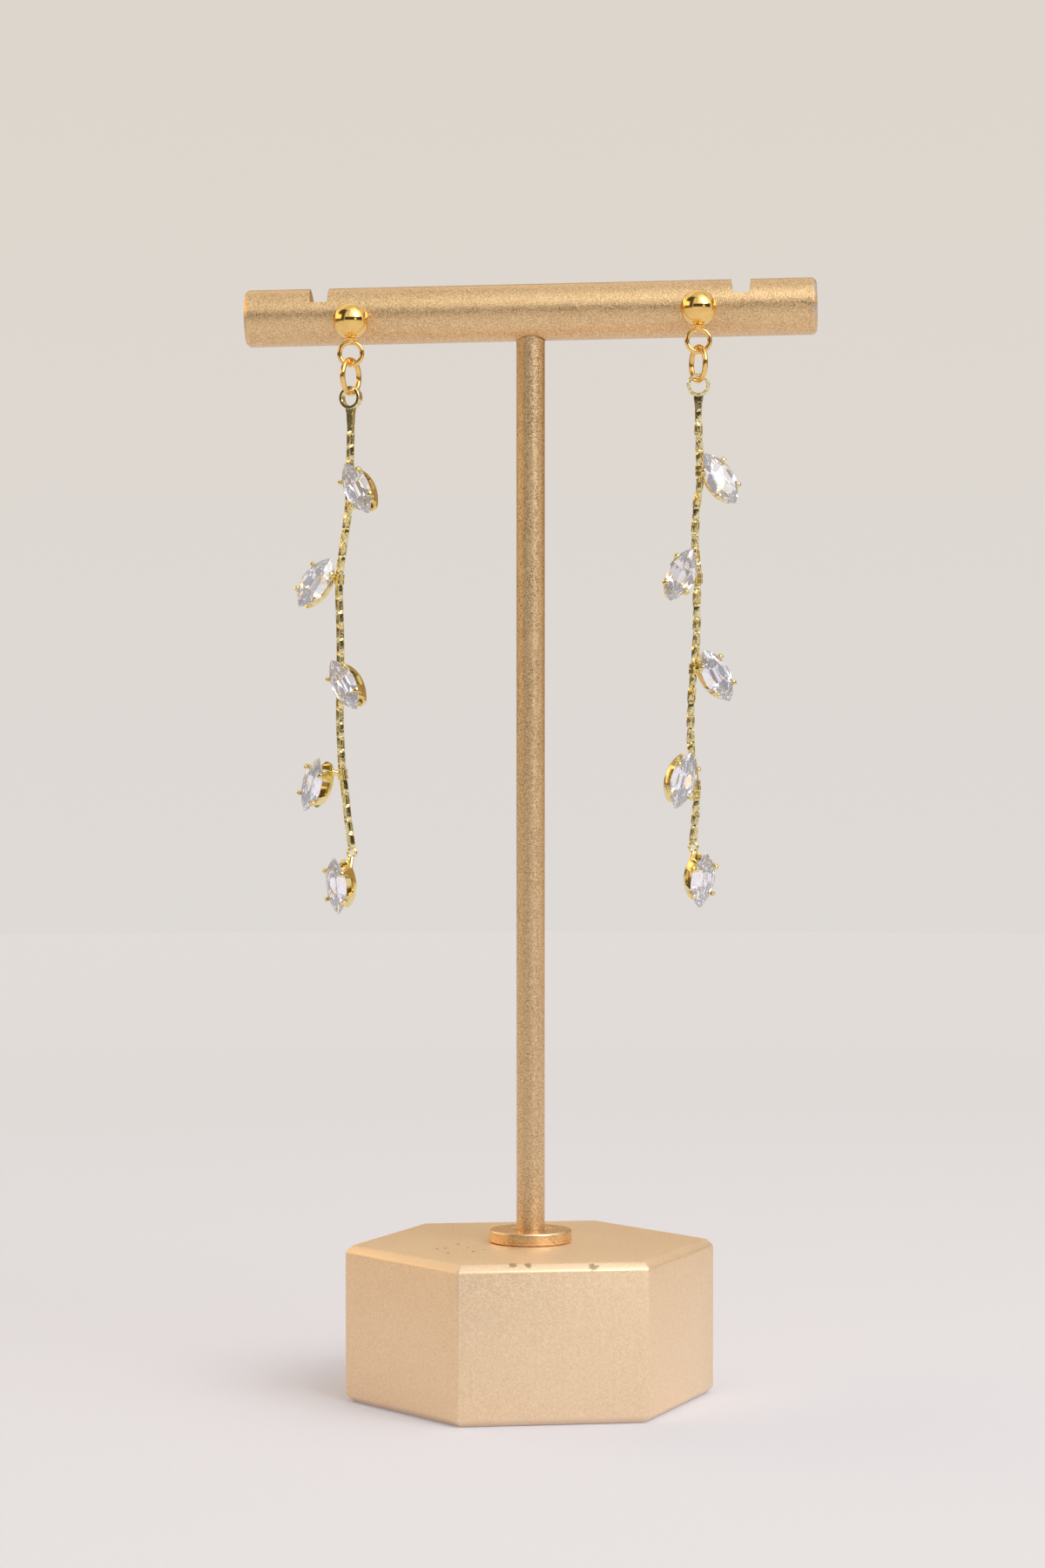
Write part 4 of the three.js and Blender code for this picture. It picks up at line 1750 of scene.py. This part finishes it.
        # Each section's place outwards, height, width and thickness.
        sections = (
            (-0.44, -1.55, 0.80, 0.26), (-0.34, -1.0, 0.74, 0.26), (-0.10, -0.55, 0.60, 0.26),
            (0.08, -0.2, 0.46, 0.27), (0.16, 0.06, 0.42, 0.29), (0.14, 0.26, 0.47, 0.38),
            (0.05, 0.42, 0.46, 0.38), (-0.04, 0.54, 0.30, 0.24),
        )
        out, height, width, thick = sections[0]
        piece = block("prong", (width, thick, 0.1), (0, out, height))
        with editing(piece):
            pick(piece, Pick.FACES, lambda face: face.normal.z > 0.9)
            for (out, height, width, thick), (*spot, next_width, next_thick) in pairwise(sections):
                shift = (0, spot[0] - out, spot[1] - height)
                bpy.ops.mesh.extrude_region_move(TRANSFORM_OT_translate={"value": shift})
                scale = (next_width / width, next_thick / thick, 1)
                bpy.ops.transform.resize(value=scale, center_override=(0, *spot))
        soften(piece, width=0.09, segments=3, angle=25)
        return piece

    def master(self) -> bpy.types.Object:
        """The cup with its four prongs, as every setting has it.

        Returns:
            The new piece.
        """
        piece = self.cup()
        prong = self.prong()
        lean = math.radians(self.prong_lean)
        base = self.stone.rim(self.prong_lean, 0.0)
        for end in BOTH:
            for side in BOTH:
                turn = math.atan2(-end * math.sin(lean), side * math.cos(lean))
                spot = Matrix.Translation((end * base.x, side * base.y, 0))
                arm = twin(prong, "arm", spot @ Matrix.Rotation(turn, 4, "Z"))
                work(piece, arm, Work.WELD)
        bpy.data.objects.remove(prong)
        return piece

    def wall_point(self, spot: Vector) -> Vector:
        """The point of the cup's lower wall nearest to a point beside or behind it.

        Args:
            spot: the point, in the setting's own frame.

        Returns:
            The point on the wall.
        """
        along = max(-self.foot_length + 0.3, min(self.foot_length - 0.3, spot.x))
        radius = (self.foot_length**2 + self.foot_width**2) / (2 * self.foot_width)
        half = math.sqrt(radius**2 - along**2) - radius + self.foot_width - self.wall / 2
        across = max(-half, min(half, spot.y))
        return Vector((along, across, max(self.foot + 0.2, min(self.sill - 0.1, spot.z))))

    def with_sleeve(self, cup: bpy.types.Object, spot: Vector, along: Vector) -> None:
        """Welds on the sleeve that grips the chain, and the strap that holds it.

        Args:
            cup: the cup with its prongs, in its own frame.
            spot: the chain's point inside the sleeve.
            along: the chain's direction there.
        """
        half, bore, radius = self.sleeve_length / 2, self.sleeve_bore, self.sleeve_radius
        groove, lip = 0.07, 0.06
        profile = [
            (bore, -half), (radius - lip, -half), (radius, lip - half), (radius, -groove),
            (radius - groove, 0), (radius, groove), (radius, half - lip), (radius - lip, half),
            (bore, half), (bore, -half),
        ]
        sleeve = place(turned("sleeve", profile, 24), aimed(spot, along))
        strap = rod("strap", spot, self.wall_point(spot), self.strap, 12)
        work(strap, rod("bore", spot - along, spot + along, bore, 24), Work.CUT)
        work(sleeve, strap, Work.WELD)
        work(cup, sleeve, Work.WELD)

    def with_bail(self, cup: bpy.types.Object, centre: Vector, to_local: Matrix) -> None:
        """Welds on the loop that hangs from the chain's end, and its two struts.

        Args:
            cup: the cup with its prongs, in its own frame.
            centre: the loop's centre in the frame.
            to_local: the move from the frame to the setting's own frame.
        """
        bpy.ops.mesh.primitive_torus_add(
            location=centre, rotation=(math.pi / 2, 0, 0), major_radius=self.bail_radius,
            minor_radius=self.bail_wire, major_segments=28, minor_segments=10,
        )
        loop = place(made("bail"), to_local)
        low = to_local @ (centre - self.bail_radius * Z_AXIS)
        inwards, sideways, up = self.strut_foot
        for side in BOTH:
            shoulder = Vector((inwards - self.foot_length, side * sideways, self.foot + up))
            work(loop, rod("strut", low, shoulder, self.strut, 12), Work.WELD)
        work(cup, loop, Work.WELD)


@dataclass
class Drops:
    """The five stones in their settings on one chain.

    Attributes:
        side: which earring.
        grips: the height at which each of the upper settings grips the chain.
        bail_fall: the distance of the last setting's loop below the chain's end.
    """

    side: Side
    grips: tuple[float, ...]
    bail_fall: float = 0.62

    def build(self, setting: BoatSetting, masters: Pair, finishes: Dress) -> None:
        """Builds, dresses and hands over the stones and settings.

        Args:
            setting: the setting's sizes.
            masters: the stone and the cup to copy.
            finishes: the stones' and the cups' materials.
        """
        stone, plain_cup = masters
        clear, gold = finishes
        line = CentreLine(f"{self.side.value}_chain")
        for number in range(1, len(self.grips) + 2):
            stone_node = f"{self.side.value}_stone_{number}"
            spot = stone_place(stone_node, setting.stone.crown)
            to_local = spot.inverted()
            cup = twin(plain_cup, "cup_copy", Matrix.Identity(4))
            if number <= len(self.grips):
                distance = line.distance_at(self.grips[number - 1])
                along = (to_local.to_3x3() @ line.tangent(distance)).normalized()
                setting.with_sleeve(cup, to_local @ line.at(distance), along)
            else:
                setting.with_bail(cup, line.at(line.length) - self.bail_fall * Z_AXIS, to_local)
            smooth(cup, 35)
            place(cup, spot)
            hand_over(cup, f"{self.side.value}_setting_{number}", gold)
            hand_over(twin(stone, "stone_copy", spot), stone_node, clear)


# ---------------------------------------------------------------- studio


@dataclass(frozen=True)
class Patch:
    """A part of the room round the stand, as seen from it, with a soft border.

    Attributes:
        turn: its first and last angle about the stand, in degrees from the front towards +X.
        rise: its lowest and highest angle above the floor, in degrees.
        light: its brightness.
        border: half the width of its border, in degrees.
    """

    turn: tuple[float, float]
    rise: tuple[float, float]
    light: Colour
    border: float


@dataclass(frozen=True)
class Lamp:
    """A square light that faces the stand.

    Attributes:
        name: the light's name.
        spot: its place, in metres.
        size: the length of its sides, in metres.
        power: its power, in watts.
    """

    name: str
    spot: tuple[float, float, float]
    size: float
    power: float


@dataclass
class Studio:
    """The pale floor and wall, the soft light and the camera.

    Attributes:
        eye: the camera's place, in metres.
        pan: how far it looks to the left of +Y, in degrees.
        dip: how far it looks down, in degrees.
        lens: its focal length, in millimetres, for a sensor of 36 mm along the long side.
        wall_radius: the radius of the round wall, in metres.
        wall_height: its height.
        cove: the radius of the cove between floor and wall.
        room: the brightness of the room at the stand's back.
        lamps: the lights.
        middle: the point that they face.
        patches: what differs from the room's brightness, each over the ones before.
    """

    eye: tuple[float, float, float] = (0.0162, -0.4070, 0.0717)
    pan: float = 2.4
    dip: float = 0.95
    lens: float = 88.54
    wall_radius: float = 1.3
    wall_height: float = 3.0
    cove: float = 0.4
    room: Colour = (0.80, 0.77, 0.72)
    lamps: tuple[Lamp, ...] = (
        Lamp("softbox", (0.45, -0.45, 0.57), 0.45, 1.8),
        Lamp("top_fill", (-0.1, 0.1, 0.9), 0.8, 0.6),
    )
    middle: tuple[float, float, float] = (0.0, 0.0, 0.07)
    patches: tuple[Patch, ...] = (
        Patch((-200, -50), (-90, 90), (0.90, 0.76, 0.58), 25),
        Patch((50, 130), (-90, 90), (0.80, 0.72, 0.60), 25),
        Patch((-200, 200), (58, 100), (0.42, 0.38, 0.32), 14),
        Patch((-3, 94), (20, 78), (1.15, 1.12, 1.08), 4),
        Patch((14, 76), (24, 64), (1.9, 1.87, 1.82), 10),
        Patch((-100, -36), (-4, 66), (0.09, 0.085, 0.06), 8),
        Patch((-150, -96), (-3, 24), (0.15, 0.12, 0.08), 6),
        Patch((-34, 82), (0, 20), (0.07, 0.05, 0.035), 4),
        Patch((28, 42), (3, 13), (1.1, 1.05, 1.0), 3),
        Patch((-145, -62), (10, 30), (1.9, 1.35, 0.75), 4),
        Patch((98, 190), (-20, 30), (0.40, 0.27, 0.15), 7),
        Patch((-190, -150), (-20, 30), (0.45, 0.32, 0.19), 7),
    )

    def build(self) -> None:
        """Builds the floor, the wall, the lights and the camera."""
        self.floor_and_wall()
        self.world()
        self.lights()
        self.camera()

    def floor_and_wall(self) -> None:
        """A floor disc that everything sees, and a coved round wall that only the camera sees."""
        reach = self.wall_radius - self.cove
        bpy.ops.mesh.primitive_circle_add(vertices=96, radius=reach, fill_type="NGON")
        floor = made("studio_floor")
        cove = arc(self.cove, (reach, self.cove), -90, 0, 16)
        wall = turned("studio_wall", [*cove, (self.wall_radius, self.wall_height)], 96)
        smooth(wall, 60)
        for piece, finish in ((floor, FloorCard("floor_card").mix()), (wall, WallGlow("wall_glow").mix())):
            piece.data.materials.append(finish)
        wall.visible_diffuse = False
        wall.visible_glossy = False
        wall.visible_transmission = False
        wall.visible_shadow = False
        log.info("studio floor and wall")

    def world(self) -> None:
        """The room: a bright window at the right front, pale cloth behind, darker things in front."""
        world = bpy.data.worlds.new("soft_room")
        bpy.context.scene.world = world
        world.use_nodes = True
        room = Wiring(world.node_tree)
        view = room.parted(room.nodes.new("ShaderNodeTexCoord").outputs["Generated"])
        turn = room.worked("ARCTAN2", view["X"], room.worked("MULTIPLY", view["Y"], -1.0))
        rise = room.worked("ARCSINE", view["Z"], 0.0)
        colour = self.room
        for patch in self.patches:
            beside = room.within(turn, patch.turn, patch.border)
            over = room.within(rise, patch.rise, patch.border)
            colour = room.blend(room.worked("MULTIPLY", beside, over), colour, patch.light)
        room.plug(colour, room.nodes["Background"].inputs["Color"])

    def lights(self) -> None:
        """A softbox at the right front, amid the window, and a faint one from above."""
        for lamp in self.lamps:
            bpy.ops.object.light_add(type="AREA", location=lamp.spot)
            light = bpy.context.object
            light.name = lamp.name
            light.data.size = lamp.size
            light.data.energy = lamp.power
            light.visible_camera = False
            aim = Vector(self.middle) - Vector(lamp.spot)
            light.rotation_euler = aim.to_track_quat("-Z", "Y").to_euler()

    def camera(self) -> None:
        """The camera at the front, a little to the right of the pole and a little above its middle."""
        bpy.ops.object.camera_add(location=self.eye)
        camera = bpy.context.object
        pan, dip = math.radians(self.pan), math.radians(self.dip)
        look = Vector((-math.sin(pan) * math.cos(dip), math.cos(pan) * math.cos(dip), -math.sin(dip)))
        camera.rotation_euler = look.to_track_quat("-Z", "Y").to_euler()
        camera.data.sensor_width = 36
        camera.data.lens = self.lens
        camera.data.clip_start = 0.01
        camera.data.clip_end = 20
        bpy.context.scene.camera = camera


def main() -> None:
    """Builds every piece round the frame, and then the studio."""
    logging.basicConfig(level=logging.INFO, format="%(message)s")
    bpy.ops.object.select_all(action="DESELECT")

    polished = BrightGold("mirror_gold", (0.98, 0.66, 0.23), (0.90, 0.56, 0.18)).mix()
    # The chain's film colour is nearly brown-black: besides a real film, it is painted shade in patches over
    # the links and end rings.
    chain_gold = BrightGold(
        "link_gold", (0.93, 0.83, 0.47), (0.30, 0.22, 0.08), roughness=0.08, film=0.10, film_size=0.25,
        film_and_shade_share=0.75, mark_depth=0.002, ripple=0.02, ripple_size=0.3,
    ).mix()
    setting_gold = BrightGold(
        "cup_gold", (0.94, 0.80, 0.39), (0.80, 0.63, 0.25), roughness=0.10, film=0.10, mark_depth=0.001,
    ).mix()
    finishes = (ClearStone("cut_zirconia").mix(), setting_gold)

    Stand().build()
    StudAndRings(Side.LEFT, droop=11.1, jump_turn=66, end_turn=-24).build(polished, chain_gold)
    StudAndRings(Side.RIGHT, droop=5.05, jump_turn=-66, end_turn=0, end_lean=8).build(polished, chain_gold)
    Chain(Side.LEFT, turn=57, twist=0.0).build(chain_gold)
    Chain(Side.RIGHT, turn=20, twist=38.0).build(chain_gold)
    setting = BoatSetting(MarquiseStone())
    masters = (setting.stone.cut(), setting.master())
    Drops(Side.LEFT, (95.8, 86.4, 76.0, 66.0)).build(setting, masters, finishes)
    Drops(Side.RIGHT, (97.6, 86.4, 77.0, 64.9)).build(setting, masters, finishes)
    for master in masters:
        bpy.data.objects.remove(master)
    Studio().build()
    bpy.context.scene.view_settings.view_transform = "Standard"


if __name__ == "__main__":
    main()
